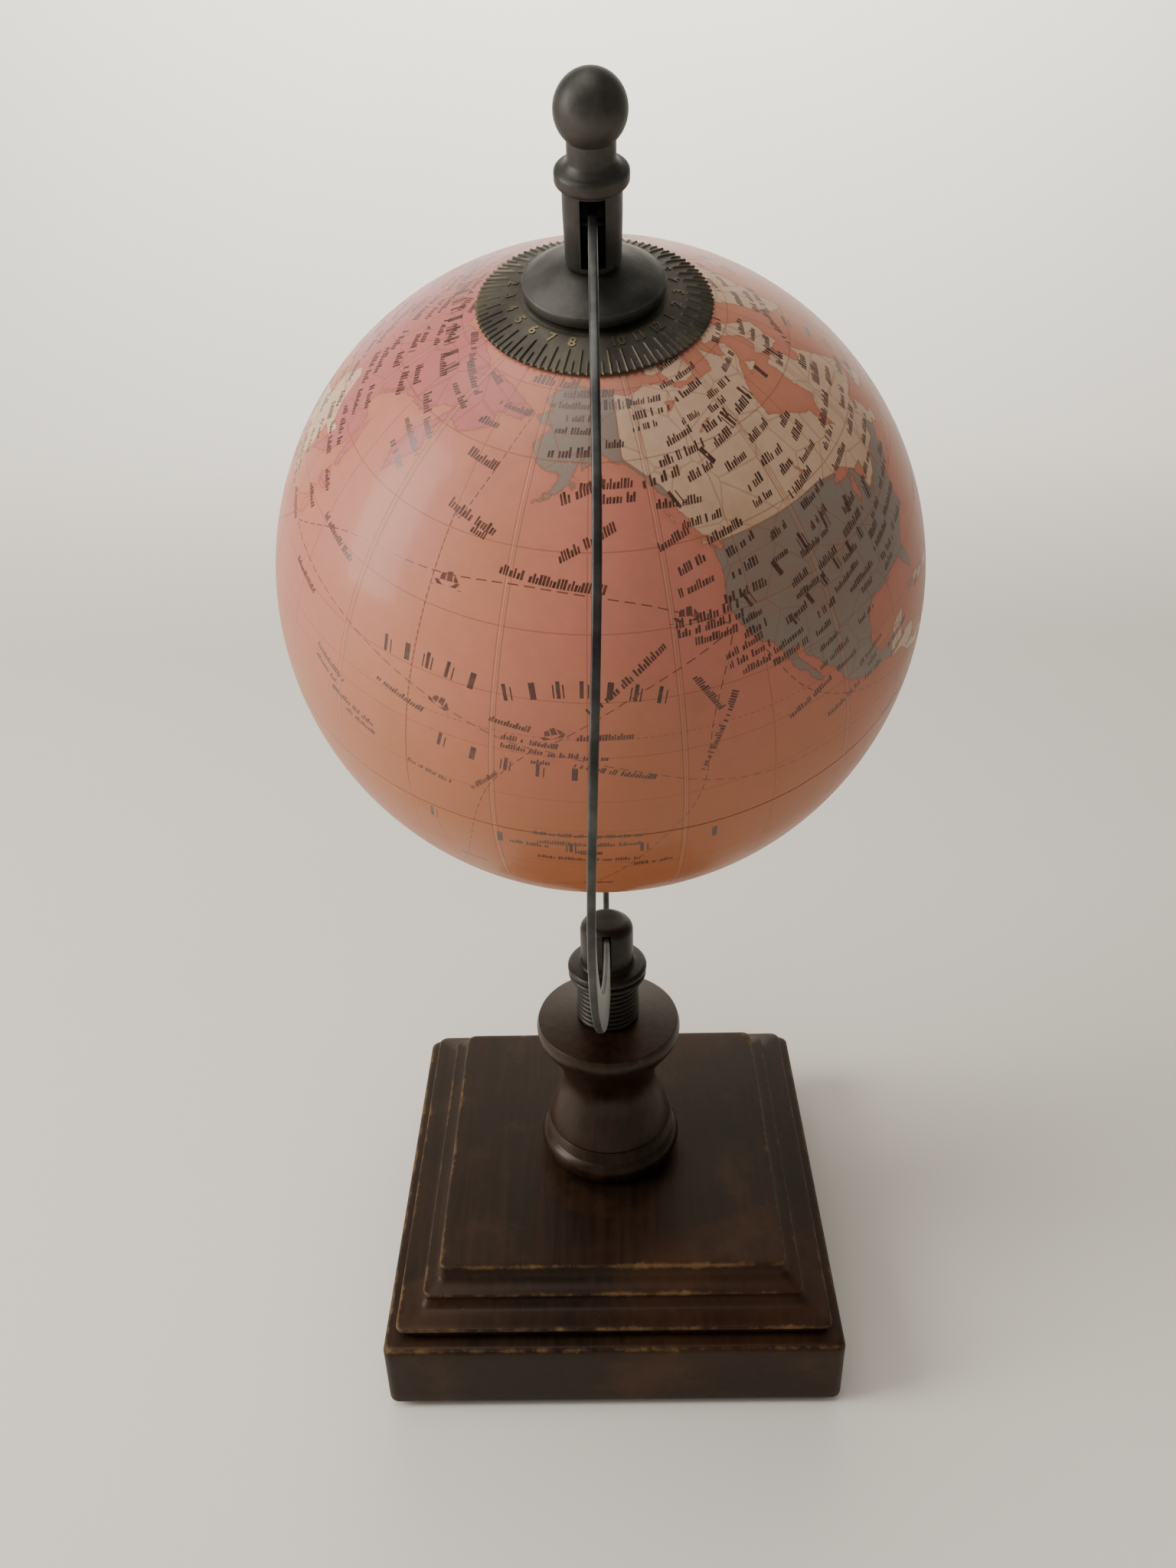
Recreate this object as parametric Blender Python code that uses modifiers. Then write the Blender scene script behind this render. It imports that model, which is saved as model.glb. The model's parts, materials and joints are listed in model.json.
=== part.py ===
"""Desktop globe on a stand.

A hollow globe spins on an axle that is tilted in a meridian arm, with a loose hour dial at its north pole.
The arm is held in a cast socket on a turned pedestal and a stepped square base.

Metres, +Z up. The origin is on the table, under the middle of the base. The arm stands in the YZ plane and
curves out to -Y, so the north pole leans towards -Y.
"""

import math

import bmesh
import bpy

# ---- driving sizes ---------------------------------------------------------------------------------------
GAP = 0.0003  # between pieces that touch
RUNNING_GAP = 0.0001  # radial, where a bush turns on the axle

GLOBE_RADIUS = 0.075
SHELL_WALL = 0.0016
AXIS_TILT = math.radians(23.5)
GLOBE_CLEARANCE = 0.0254  # from the socket's crown to the globe

FELT_THICKNESS = 0.0012
FELT_INSET = 0.003
PLINTH_WIDTH = 0.127
PLINTH_HEIGHT = 0.0228
PLINTH_EDGE = 0.0012
BLOCK_LEDGE_INSET = 0.0035  # lowest lip, in from the plinth's side
BLOCK_STEP_INSET = 0.0107  # middle lip
BLOCK_TOP_INSET = 0.0152
BLOCK_HEIGHT = 0.0148
LEDGE_HEIGHT = 0.0036
STEP_HEIGHT = 0.0088

PEDESTAL_HEIGHT = 0.0494
FOOT_RADIUS = 0.0208
WAIST_RADIUS = 0.0136
RIM_RADIUS = 0.0208
GROOVE_DEPTH = 0.0007

SOCKET_RADIUS = 0.009  # ringed barrel
SOCKET_BARREL = 0.0142
COLLAR_RADIUS = 0.0112
COLLAR_HEIGHT = 0.0044
STUB_RADIUS = 0.0074
STUB_HEIGHT = 0.0142
BARREL_RINGS = 9
RING_DEPTH = 0.0004

ARM_STANDOFF = 0.023  # from the globe's radius to the middle of the strip
ARM_WIDTH = 0.0088
ARM_THICKNESS = 0.0017
ARM_CORNER = 0.0032  # rounding of its two ends
ARM_BOW = 0.0027  # the strip's lower front is bent this far to -X
ARM_BELOW_CROWN = 0.0066  # middle of the strip, under the socket's crown
SLOT_CLEARANCE = 0.00035  # each side of the strip in the socket

AXLE_RADIUS = 0.0015
STEM_RADIUS = 0.0055
STEM_LENGTH = 0.0149
STEM_FOOT = 0.0012  # metal left under the slot
STEM_SLOT = 0.0046
TONGUE_REACH = 0.0042  # past the axis
FLANGE_RADIUS = 0.0068
FLANGE_HEIGHT = 0.003
NECK_RADIUS = 0.0044
BALL_RADIUS = 0.0065
PIN_RADIUS = 0.0009

DIAL_RADIUS = 0.0231
DIAL_THICKNESS = 0.0007
DIAL_TEETH = 48
DIAL_TOOTH = 0.0003
CAP_RADIUS = 0.0137
CAP_RIM = 0.0022
CAP_CROWN = 0.0032

BUSH_RADIUS = 0.004
BUSH_FLANGE = 0.0065
BUSH_FLANGE_HEIGHT = 0.0012
HOOP_HEIGHT = 0.012
HOOP_WALL = 0.001
WASHER_RADIUS = 0.0045
WASHER_THICKNESS = 0.0008

BOLT_RADIUS = 0.002
BOLT_HEAD_RADIUS = 0.004
BOLT_HEAD_HEIGHT = 0.003
BOLT_BITE = 0.009  # thread inside the socket
TIE_WASHER_RADIUS = 0.006
TIE_WASHER_THICKNESS = 0.001
COUNTERBORE_MARGIN = 0.001

ROUND_STEPS = 32
GLOBE_STEPS = 44
SMALL_STEPS = 24

# ---- places that follow from them ------------------------------------------------------------------------
PLINTH_TOP = FELT_THICKNESS + GAP + PLINTH_HEIGHT
BLOCK_BASE = PLINTH_TOP + GAP
BLOCK_TOP = BLOCK_BASE + BLOCK_HEIGHT
PEDESTAL_BASE = BLOCK_TOP + GAP
PEDESTAL_TOP = PEDESTAL_BASE + PEDESTAL_HEIGHT
SOCKET_BASE = PEDESTAL_TOP + GAP
COLLAR_BASE = SOCKET_BASE + SOCKET_BARREL
COLLAR_TOP = COLLAR_BASE + COLLAR_HEIGHT
CROWN = COLLAR_TOP + STUB_HEIGHT
GLOBE_CENTRE = CROWN + GLOBE_CLEARANCE + GLOBE_RADIUS
ARM_LOW = CROWN - ARM_BELOW_CROWN
ARM_RADIUS = GLOBE_RADIUS + ARM_STANDOFF

# The strip's circle is centred on the axle, this far south of the globe's centre, so that it passes ARM_LOW.
BELOW_CENTRE = GLOBE_CENTRE - ARM_LOW
ARM_SHIFT = BELOW_CENTRE * math.cos(AXIS_TILT) - math.sqrt(
    ARM_RADIUS**2 - (BELOW_CENTRE * math.sin(AXIS_TILT)) ** 2
)
NORTH_TONGUE = ARM_RADIUS - ARM_SHIFT  # along the axle, from the globe's centre
SOUTH_TONGUE = ARM_RADIUS + ARM_SHIFT

DIAL_INSIDE = GLOBE_RADIUS + GAP
DIAL_OUTSIDE = DIAL_INSIDE + DIAL_THICKNESS
CAP_INSIDE = DIAL_OUTSIDE + GAP
CAP_BASE = math.sqrt(CAP_INSIDE**2 - CAP_RADIUS**2)
CAP_TOP = CAP_BASE + CAP_RIM + CAP_CROWN
STEM_BASE = CAP_TOP + GAP
STEM_TOP = STEM_BASE + STEM_LENGTH
SLOT_BASE = STEM_BASE + STEM_FOOT
SLOT_TOP = STEM_TOP - STEM_FOOT / 2
FLANGE_TOP = STEM_TOP + FLANGE_HEIGHT
BALL_CENTRE = FLANGE_TOP + 0.0032 + BALL_RADIUS

SHELL_INSIDE = GLOBE_RADIUS - SHELL_WALL
SOUTH_WASHER_TOP = GLOBE_RADIUS + BUSH_FLANGE_HEIGHT + 2 * GAP
SOUTH_STEM_TOP = SOUTH_WASHER_TOP + WASHER_THICKNESS + GAP
SOUTH_STEM_END = SOUTH_TONGUE + ARM_WIDTH / 2 + GAP + STEM_FOOT
BOLT_HOLE = BOLT_RADIUS + GAP


# ---- tools -----------------------------------------------------------------------------------------------
def clear_scene():
    for obj in list(bpy.data.objects):
        bpy.data.objects.remove(obj)


def make_collection(name):
    collection = bpy.data.collections.new(name)
    bpy.context.scene.collection.children.link(collection)
    return collection


def make_material(name, colour, roughness, metallic=0.0):
    material = bpy.data.materials.new(name)
    material.use_nodes = True
    shader = material.node_tree.nodes["Principled BSDF"]
    shader.inputs["Base Color"].default_value = (*colour, 1.0)
    shader.inputs["Roughness"].default_value = roughness
    shader.inputs["Metallic"].default_value = metallic
    return material


def add_object(name, data, material=None, parent=None, collection=None):
    obj = bpy.data.objects.new(name, data)
    (collection or PARTS).objects.link(obj)
    if material:
        data.materials.append(material)
    obj.parent = parent
    return obj


def arc(centre, radius, start, end, steps):
    """Points on an arc about centre, (r, z) pairs, from angle start to angle end in degrees."""
    angles = [math.radians(start + (end - start) * i / steps) for i in range(steps + 1)]
    return [(centre[0] + radius * math.cos(a), centre[1] + radius * math.sin(a)) for a in angles]


def smooth_line(points, steps):
    """A Catmull-Rom curve through the points, with this many steps between two of them."""
    ends = [points[0], *points, points[-1]]
    line = []
    for p, q, r, s in zip(ends, ends[1:], ends[2:], ends[3:]):
        for i in range(steps):
            t = i / steps
            weights = (2 * t**2 - t - t**3, 2 - 5 * t**2 + 3 * t**3, t + 4 * t**2 - 3 * t**3, t**3 - t**2)
            line.append(tuple(sum(w * v for w, v in zip(weights, values)) / 2 for values in zip(p, q, r, s)))
    return line + [points[-1]]


def turned(name, profile, material=None, steps=ROUND_STEPS, parent=None, ring=False, collection=None):
    """A turned piece. The profile is (r, z) pairs down the outside; a ring's profile then climbs its bore."""
    mesh = bpy.data.meshes.new(name)
    count = len(profile)
    edges = [(i, i + 1) for i in range(count - 1)] + ([(count - 1, 0)] if ring else [])
    mesh.from_pydata([(r, 0.0, z) for r, z in profile], edges, [])
    obj = add_object(name, mesh, material, parent, collection)
    screw = obj.modifiers.new("turn", "SCREW")
    screw.steps = screw.render_steps = steps
    screw.use_merge_vertices = True
    screw.merge_threshold = 0.00001
    screw.use_smooth_shade = True
    return obj


def tube(name, outer, inner, bottom, top, material, steps=SMALL_STEPS, parent=None):
    profile = [(outer, top), (outer, bottom), (inner, bottom), (inner, top)]
    return turned(name, profile, material, steps, parent, ring=True)


def squared(name, profile, material):
    """A square moulding with mitred corners: the profile, (half width, z) pairs, turned in four steps."""
    corners = [(half * math.sqrt(2), z) for half, z in profile]
    obj = turned(name, corners, material, 4)
    obj.modifiers["turn"].use_smooth_shade = False
    obj.rotation_euler = (0, 0, math.radians(45))
    return obj


def drill(obj, cutter):
    cut = obj.modifiers.new("cut " + cutter.name, "BOOLEAN")
    cut.operation = "DIFFERENCE"
    cut.object = cutter
    return obj


def hide_cutter(obj):
    obj.hide_render = True
    obj.display_type = "WIRE"
    return obj


def round_cutter(name, radius, bottom, top, parent=None):
    mesh = bpy.data.meshes.new(name)
    shape = bmesh.new()
    bmesh.ops.create_cone(
        shape, cap_ends=True, segments=SMALL_STEPS, radius1=radius, radius2=radius, depth=top - bottom
    )
    shape.to_mesh(mesh)
    shape.free()
    obj = add_object(name, mesh, parent=parent, collection=CUTTERS)
    obj.location = (0, 0, (bottom + top) / 2)
    return hide_cutter(obj)


def box_cutter(name, low, high, parent=None):
    mesh = bpy.data.meshes.new(name)
    shape = bmesh.new()
    bmesh.ops.create_cube(shape, size=1.0)
    bmesh.ops.scale(shape, vec=[b - a for a, b in zip(low, high)], verts=shape.verts)
    shape.to_mesh(mesh)
    shape.free()
    obj = add_object(name, mesh, parent=parent, collection=CUTTERS)
    obj.location = [(a + b) / 2 for a, b in zip(low, high)]
    return hide_cutter(obj)


def cross_pin(name, length, place, material, parent=None):
    """Makes a pin along X, and returns the cutter for its hole."""
    profile = [(0, length / 2), (PIN_RADIUS, length / 2), (PIN_RADIUS, -length / 2), (0, -length / 2)]
    pin = turned(name, profile, material, 12, parent)
    hole = round_cutter(name + "_hole", PIN_RADIUS + GAP, -length, length, parent)
    for obj in (pin, hole):
        obj.location = place
        obj.rotation_euler = (0, math.radians(90), 0)
    return hole


# ---- base ------------------------------------------------------------------------------------------------
def make_felt(material):
    half = PLINTH_WIDTH / 2 - FELT_INSET
    return squared("felt_sheet", [(0, FELT_THICKNESS), (half, FELT_THICKNESS), (half, 0), (0, 0)], material)


def make_plinth(material, bolt_hole):
    half = PLINTH_WIDTH / 2
    bottom = FELT_THICKNESS + GAP
    profile = [
        (0, PLINTH_TOP),
        *arc((half - PLINTH_EDGE, PLINTH_TOP - PLINTH_EDGE), PLINTH_EDGE, 90, 0, 3),
        *arc((half - PLINTH_EDGE, bottom + PLINTH_EDGE), PLINTH_EDGE, 0, -90, 3),
        (0, bottom),
    ]
    plinth = squared("plinth", profile, material)
    roof = bottom + BOLT_HEAD_HEIGHT + TIE_WASHER_THICKNESS + 3 * GAP
    counterbore = round_cutter("counterbore", TIE_WASHER_RADIUS + COUNTERBORE_MARGIN, bottom - 0.01, roof)
    drill(plinth, counterbore)
    return drill(plinth, bolt_hole)


def make_block(material, bolt_hole):
    """The stepped moulding: a top with a square edge, a cove, a lip, a second cove, a lip and a sunk foot."""
    half = PLINTH_WIDTH / 2
    ledge, step, top = half - BLOCK_LEDGE_INSET, half - BLOCK_STEP_INSET, half - BLOCK_TOP_INSET
    lip = 0.0009
    edge = 0.0008
    step_z, ledge_z = BLOCK_BASE + STEP_HEIGHT, BLOCK_BASE + LEDGE_HEIGHT
    high_cove = [(top, BLOCK_TOP - 0.0028), (top + 0.0007, step_z + 0.0018), (step - edge, step_z + 0.0006)]
    low_cove = [(step, step_z - 0.0022), (step + 0.0013, ledge_z + 0.0014), (ledge - edge, ledge_z + 0.0005)]
    profile = [
        (0, BLOCK_TOP),
        *arc((top - edge, BLOCK_TOP - edge), edge, 90, 0, 3),
        *smooth_line(high_cove, 3),
        (step, step_z),
        (step, step_z - lip),
        *smooth_line(low_cove, 3),
        (ledge, ledge_z),
        (ledge, ledge_z - lip),
        (ledge - edge, ledge_z - 2 * lip),
        (ledge - edge, BLOCK_BASE),
        (0, BLOCK_BASE),
    ]
    return drill(squared("moulded_block", profile, material), bolt_hole)


def make_pedestal(material, bolt_hole):
    """A turned column: a round foot, a fine groove, a bell that narrows to the waist, and a flaring rim."""
    base, top = PEDESTAL_BASE, PEDESTAL_TOP
    foot = 0.0042
    groove = base + 0.0112
    shoulder = FOOT_RADIUS - 0.0019
    rim_top = top - 0.0012
    bell = [
        (shoulder - 0.0006, groove + GROOVE_DEPTH),
        (FOOT_RADIUS - 0.0034, base + 0.0148),
        (FOOT_RADIUS - 0.005, base + 0.0192),
        (WAIST_RADIUS + 0.0007, base + 0.0234),
        (WAIST_RADIUS, base + 0.0276),
        (WAIST_RADIUS + 0.0004, base + 0.0312),
        (WAIST_RADIUS + 0.002, base + 0.0352),
        (RIM_RADIUS - 0.0028, base + 0.0395),
        (RIM_RADIUS - 0.0005, base + 0.0432),
        (RIM_RADIUS, rim_top - 0.0022),
        (RIM_RADIUS - 0.0006, rim_top),
    ]
    profile = [
        (0, top),
        (SOCKET_RADIUS + 0.001, top),
        (RIM_RADIUS - 0.0036, rim_top + 0.0004),
        *reversed(smooth_line(bell, 2)),
        (shoulder - 0.0003 - GROOVE_DEPTH, groove),
        (shoulder, groove - GROOVE_DEPTH),
        *reversed(arc((FOOT_RADIUS - foot, base + foot), foot, -60, 60, 7)),
        (FOOT_RADIUS - foot, base),
        (0, base),
    ]
    return drill(turned("pedestal", profile, material), bolt_hole)


def make_tie_bolt(material):
    bottom = FELT_THICKNESS + 2 * GAP
    shoulder = bottom + BOLT_HEAD_HEIGHT
    end = SOCKET_BASE + BOLT_BITE
    profile = [
        (0, end),
        (BOLT_RADIUS - 0.0005, end),
        (BOLT_RADIUS, end - 0.0005),
        (BOLT_RADIUS, shoulder),
        (BOLT_HEAD_RADIUS, shoulder),
        (BOLT_HEAD_RADIUS, bottom + 0.0008),
        (BOLT_HEAD_RADIUS - 0.0008, bottom),
        (0, bottom),
    ]
    turned("tie_bolt", profile, material, SMALL_STEPS)
    low = shoulder + GAP
    tube("tie_washer", TIE_WASHER_RADIUS, BOLT_HOLE, low, low + TIE_WASHER_THICKNESS, material)

# ---- socket and arm --------------------------------------------------------------------------------------
def make_socket(material, pin_hole):
    """One casting: a ringed barrel on the pedestal, a collar, and a slotted stub with a round crown."""
    pitch = SOCKET_BARREL / BARREL_RINGS
    rings = []
    for i in range(BARREL_RINGS):
        high = COLLAR_BASE - i * pitch
        rings += [(SOCKET_RADIUS - RING_DEPTH, high - 0.2 * pitch), (SOCKET_RADIUS, high - 0.6 * pitch)]
    crown_edge = 0.003
    edge = 0.0008
    profile = [
        (0, CROWN),
        *arc((STUB_RADIUS - crown_edge, CROWN - crown_edge), crown_edge, 90, 0, 5),
        (STUB_RADIUS, COLLAR_TOP - 0.0008),
        (COLLAR_RADIUS - 2 * edge, COLLAR_TOP),
        *arc((COLLAR_RADIUS - edge, COLLAR_TOP - edge), edge, 70, -10, 3),
        (COLLAR_RADIUS - 0.0005, COLLAR_TOP - COLLAR_HEIGHT / 2),
        *arc((COLLAR_RADIUS - edge, COLLAR_BASE + edge), edge, 10, -90, 3),
        *rings,
        (SOCKET_RADIUS, SOCKET_BASE),
        (0, SOCKET_BASE),
    ]
    socket = turned("arm_socket", profile, material)
    thread = round_cutter("socket_thread", BOLT_HOLE, SOCKET_BASE - 0.005, SOCKET_BASE + BOLT_BITE + GAP)
    half = ARM_THICKNESS / 2 + SLOT_CLEARANCE
    slot_foot, slot_head = ARM_LOW - ARM_WIDTH / 2 - GAP, ARM_LOW + ARM_WIDTH / 2 + 4 * GAP
    slot = box_cutter("socket_slot", (-half, -0.03, slot_foot), (half, 0.03, slot_head))
    for cutter in (thread, slot, pin_hole):
        drill(socket, cutter)
    return socket


def arm_point(radius, angle):
    """(y, z) at this radius from the strip's centre, and at this angle from the north end of the axle."""
    centre_y = ARM_SHIFT * math.sin(AXIS_TILT)
    centre_z = GLOBE_CENTRE - ARM_SHIFT * math.cos(AXIS_TILT)
    turn = AXIS_TILT + angle
    return centre_y - radius * math.sin(turn), centre_z + radius * math.cos(turn)


def arm_stations():
    """(angle, half width) pairs along the strip, with both ends rounded."""
    half = ARM_WIDTH / 2
    reach = TONGUE_REACH / ARM_RADIUS
    corner = []
    for i in range(4):
        turn = math.radians(90 - 30 * i)
        from_end = ARM_CORNER * (1 - math.sin(turn))
        corner.append((from_end / ARM_RADIUS, half - ARM_CORNER * (1 - math.cos(turn))))
    first, last = corner[-1][0] - reach, math.pi + reach - corner[-1][0]
    steps = 60
    middle = [(first + (last - first) * i / steps, half) for i in range(1, steps)]
    north = [(angle - reach, width) for angle, width in corner]
    south = [(math.pi + reach - angle, width) for angle, width in reversed(corner)]
    return north + middle + south


def arm_bow(angle):
    """How far the strip stands off the YZ plane. It is straight near the stem and inside the socket."""
    start, end = math.radians(30), math.pi - AXIS_TILT - 2 * STUB_RADIUS / ARM_RADIUS
    along = min(max((angle - start) / (end - start), 0), 1)
    return -ARM_BOW * math.sin(math.pi * along) ** 2


def make_arm(material, pin_holes):
    """A flat strip swept round the axle's ends, with three pin holes."""
    mesh = bpy.data.meshes.new("meridian_arm")
    shape = bmesh.new()
    rows = []
    for angle, half in arm_stations():
        row = []
        for side, thick in ((1, 1), (1, -1), (-1, -1), (-1, 1)):
            y, z = arm_point(ARM_RADIUS + side * half, angle)
            row.append(shape.verts.new((arm_bow(angle) + thick * ARM_THICKNESS / 2, y, z)))
        rows.append(row)
    for near, far in zip(rows, rows[1:]):
        for i in range(4):
            j = (i + 1) % 4
            shape.faces.new((near[i], near[j], far[j], far[i]))
    shape.faces.new(rows[0])
    shape.faces.new(rows[-1])
    bmesh.ops.recalc_face_normals(shape, faces=shape.faces)
    shape.to_mesh(mesh)
    shape.free()
    arm = add_object("meridian_arm", mesh, material)
    for hole in pin_holes:
        drill(arm, hole)
    return arm


# ---- pieces on the axle, in the axle's own frame ---------------------------------------------------------
def make_axle(material, axis):
    top = SLOT_BASE - GAP
    bottom = -(SOUTH_TONGUE - ARM_WIDTH / 2 - 2 * GAP)
    tip = 0.0003
    profile = [
        (0, top),
        (AXLE_RADIUS - tip, top),
        (AXLE_RADIUS, top - tip),
        (AXLE_RADIUS, bottom + tip),
        (AXLE_RADIUS - tip, bottom),
        (0, bottom),
    ]
    return turned("axle_rod", profile, material, SMALL_STEPS, axis)


def make_finial(material, axis, pin_hole):
    """One casting: a ball, a neck, a flange and a slotted stem that the arm's north tongue fits."""
    neck_angle = math.degrees(math.asin(NECK_RADIUS / BALL_RADIUS))
    edge = 0.0008
    profile = [
        *arc((0, BALL_CENTRE), BALL_RADIUS, 90, neck_angle - 90, 12),
        (NECK_RADIUS, FLANGE_TOP + 0.0012),
        (NECK_RADIUS + 0.0008, FLANGE_TOP + 0.0002),
        *arc((FLANGE_RADIUS - edge, FLANGE_TOP - edge), edge, 80, 0, 3),
        *arc((FLANGE_RADIUS - edge, STEM_TOP + edge), edge, 0, -90, 3),
        (STEM_RADIUS, STEM_TOP),
        (STEM_RADIUS - 0.0003, STEM_BASE),
        (0, STEM_BASE),
    ]
    profile[0] = (0, BALL_CENTRE + BALL_RADIUS)
    finial = turned("finial", profile, material, ROUND_STEPS, axis)
    half = STEM_SLOT / 2
    slot = box_cutter("north_slot", (-half, -0.03, SLOT_BASE), (half, TONGUE_REACH + GAP, SLOT_TOP), axis)
    seat = round_cutter("axle_seat", AXLE_RADIUS + GAP, STEM_BASE - 0.005, SLOT_BASE + 0.001, axis)
    for cutter in (slot, seat, pin_hole):
        drill(finial, cutter)
    return finial


def make_cap(material, axis):
    """A domed washer over the dial. Its underside follows the dial's curve."""
    hole = AXLE_RADIUS + GAP
    shoulder = CAP_BASE + CAP_RIM
    outer = math.degrees(math.acos(CAP_RADIUS / CAP_INSIDE))
    inner = math.degrees(math.acos(hole / CAP_INSIDE))
    crown = (STEM_RADIUS - 0.001, CAP_TOP)
    dome = smooth_line([crown, (STEM_RADIUS + 0.0022, CAP_TOP - 0.0009), (CAP_RADIUS - 0.0006, shoulder)], 3)
    profile = [
        (hole, CAP_TOP),
        *dome,
        (CAP_RADIUS, shoulder - 0.0005),
        *arc((0, 0), CAP_INSIDE, outer, inner, 5),
    ]
    return turned("dome_cap", profile, material, ROUND_STEPS, axis, ring=True)


def make_dial(material, dial_axis):
    """A thin ring that lies on the globe, with a fine toothed edge."""
    mesh = bpy.data.meshes.new("hour_dial")
    shape = bmesh.new()
    hole = BUSH_RADIUS + GAP
    sides = 2 * DIAL_TEETH
    bands = [(hole, DIAL_OUTSIDE), (DIAL_RADIUS / 2, DIAL_OUTSIDE), (DIAL_RADIUS, DIAL_OUTSIDE)]
    bands += [(DIAL_RADIUS, DIAL_INSIDE), (DIAL_RADIUS / 2, DIAL_INSIDE), (hole, DIAL_INSIDE)]
    rows = []
    for radius, sphere in bands:
        row = []
        for i in range(sides):
            angle = 2 * math.pi * i / sides
            r = radius - (DIAL_TOOTH if i % 2 and radius == DIAL_RADIUS else 0)
            height = math.sqrt(sphere**2 - r**2)
            row.append(shape.verts.new((r * math.cos(angle), r * math.sin(angle), height)))
        rows.append(row)
    for upper, lower in zip(rows, rows[1:] + rows[:1]):
        for i in range(sides):
            j = (i + 1) % sides
            shape.faces.new((upper[i], lower[i], lower[j], upper[j]))
    bmesh.ops.recalc_face_normals(shape, faces=shape.faces)
    shape.to_mesh(mesh)
    shape.free()
    return add_object("hour_dial", mesh, material, dial_axis)


def make_shell(name, material, globe_axis, south):
    """Half of the globe's wall, from the equator to the hole for its pole bush."""
    hole = BUSH_RADIUS + GAP
    outer = math.degrees(math.acos(hole / GLOBE_RADIUS))
    inner = math.degrees(math.acos(hole / SHELL_INSIDE))
    seam = GAP / 2
    steps = GLOBE_STEPS // 4
    outside = arc((0, 0), GLOBE_RADIUS, outer, 0, steps)
    inside = arc((0, 0), SHELL_INSIDE, 0, inner, steps)
    outside[-1], inside[0] = (outside[-1][0], seam), (inside[0][0], seam)
    shell = turned(name, outside + inside, material, GLOBE_STEPS, globe_axis, ring=True)
    if south:
        shell.rotation_euler = (math.radians(180), 0, 0)
    return shell


def make_bush(name, material, globe_axis, south):
    """A flanged bush. The north one's flange is inside the wall, clear of the dial."""
    bore = AXLE_RADIUS + RUNNING_GAP
    if south:
        flange = (GLOBE_RADIUS + BUSH_FLANGE_HEIGHT + GAP, GLOBE_RADIUS + GAP)
        profile = [
            (BUSH_FLANGE, flange[0]),
            (BUSH_FLANGE, flange[1]),
            (BUSH_RADIUS, flange[1]),
            (BUSH_RADIUS, SHELL_INSIDE - 0.003),
            (bore, SHELL_INSIDE - 0.003),
            (bore, flange[0]),
        ]
    else:
        under = math.sqrt(SHELL_INSIDE**2 - BUSH_FLANGE**2) - GAP
        profile = [
            (BUSH_RADIUS, DIAL_OUTSIDE - GAP),
            (BUSH_RADIUS, under),
            (BUSH_FLANGE, under),
            (BUSH_FLANGE, under - BUSH_FLANGE_HEIGHT),
            (bore, under - BUSH_FLANGE_HEIGHT),
            (bore, DIAL_OUTSIDE - GAP),
        ]
    bush = turned(name, profile, material, SMALL_STEPS, globe_axis, ring=True)
    if south:
        bush.rotation_euler = (math.radians(180), 0, 0)
    return bush


def make_hoop(material, globe_axis):
    """The inner band that joins the two halves."""
    outer = math.sqrt(SHELL_INSIDE**2 - (HOOP_HEIGHT / 2) ** 2) - GAP
    half = HOOP_HEIGHT / 2
    return tube("equator_hoop", outer, outer - HOOP_WALL, -half, half, material, GLOBE_STEPS, globe_axis)


def make_south_stem(material, axis, pin_hole):
    """The slotted stem that holds the arm's south tongue and the axle's lower end."""
    top, end = -SOUTH_STEM_TOP, -SOUTH_STEM_END
    edge = 0.001
    profile = [
        (0, top),
        (STEM_RADIUS - edge, top),
        (STEM_RADIUS, top - edge),
        (STEM_RADIUS, end + 2 * edge),
        (STEM_RADIUS - 2 * edge, end),
        (0, end),
    ]
    stem = turned("south_stem", profile, material, ROUND_STEPS, axis)
    half = STEM_SLOT / 2
    slot_top = -(SOUTH_TONGUE - ARM_WIDTH / 2 - GAP)
    slot_end = -(SOUTH_TONGUE + ARM_WIDTH / 2 + GAP)
    slot = box_cutter("south_slot", (-half, -0.03, slot_end), (half, TONGUE_REACH + GAP, slot_top), axis)
    seat = round_cutter("south_seat", AXLE_RADIUS + GAP, slot_top - 0.001, top + 0.005, axis)
    for cutter in (slot, seat, pin_hole):
        drill(stem, cutter)
    return stem


def make_axis_frame():
    """An empty at the globe's centre whose Z is the axle, and one inside it for each piece that turns."""
    axis = add_object("axis", None)
    axis.location = (0, 0, GLOBE_CENTRE)
    axis.rotation_euler = (AXIS_TILT, 0, 0)
    return axis, add_object("globe_axis", None, parent=axis), add_object("dial_axis", None, parent=axis)


clear_scene()
PARTS = make_collection("desktop globe")
CUTTERS = make_collection("cutters")
wood = make_material("stained wood", (0.045, 0.022, 0.014), 0.45)
bronze = make_material("dark bronze", (0.05, 0.045, 0.04), 0.45, 0.7)
steel = make_material("steel", (0.35, 0.34, 0.33), 0.35, 1.0)
felt = make_material("felt", (0.02, 0.02, 0.02), 0.95)
paper = make_material("printed paper", (0.75, 0.33, 0.24), 0.4)
plastic = make_material("bush plastic", (0.08, 0.08, 0.08), 0.5)
card = make_material("card", (0.45, 0.36, 0.26), 0.9)

axis_frame, globe_frame, dial_frame = make_axis_frame()
shank_hole = round_cutter("bolt_hole", BOLT_HOLE, -0.01, PEDESTAL_TOP + 0.01)
make_felt(felt)
make_plinth(wood, shank_hole)
make_block(wood, shank_hole)
make_pedestal(wood, shank_hole)
make_tie_bolt(steel)

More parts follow.
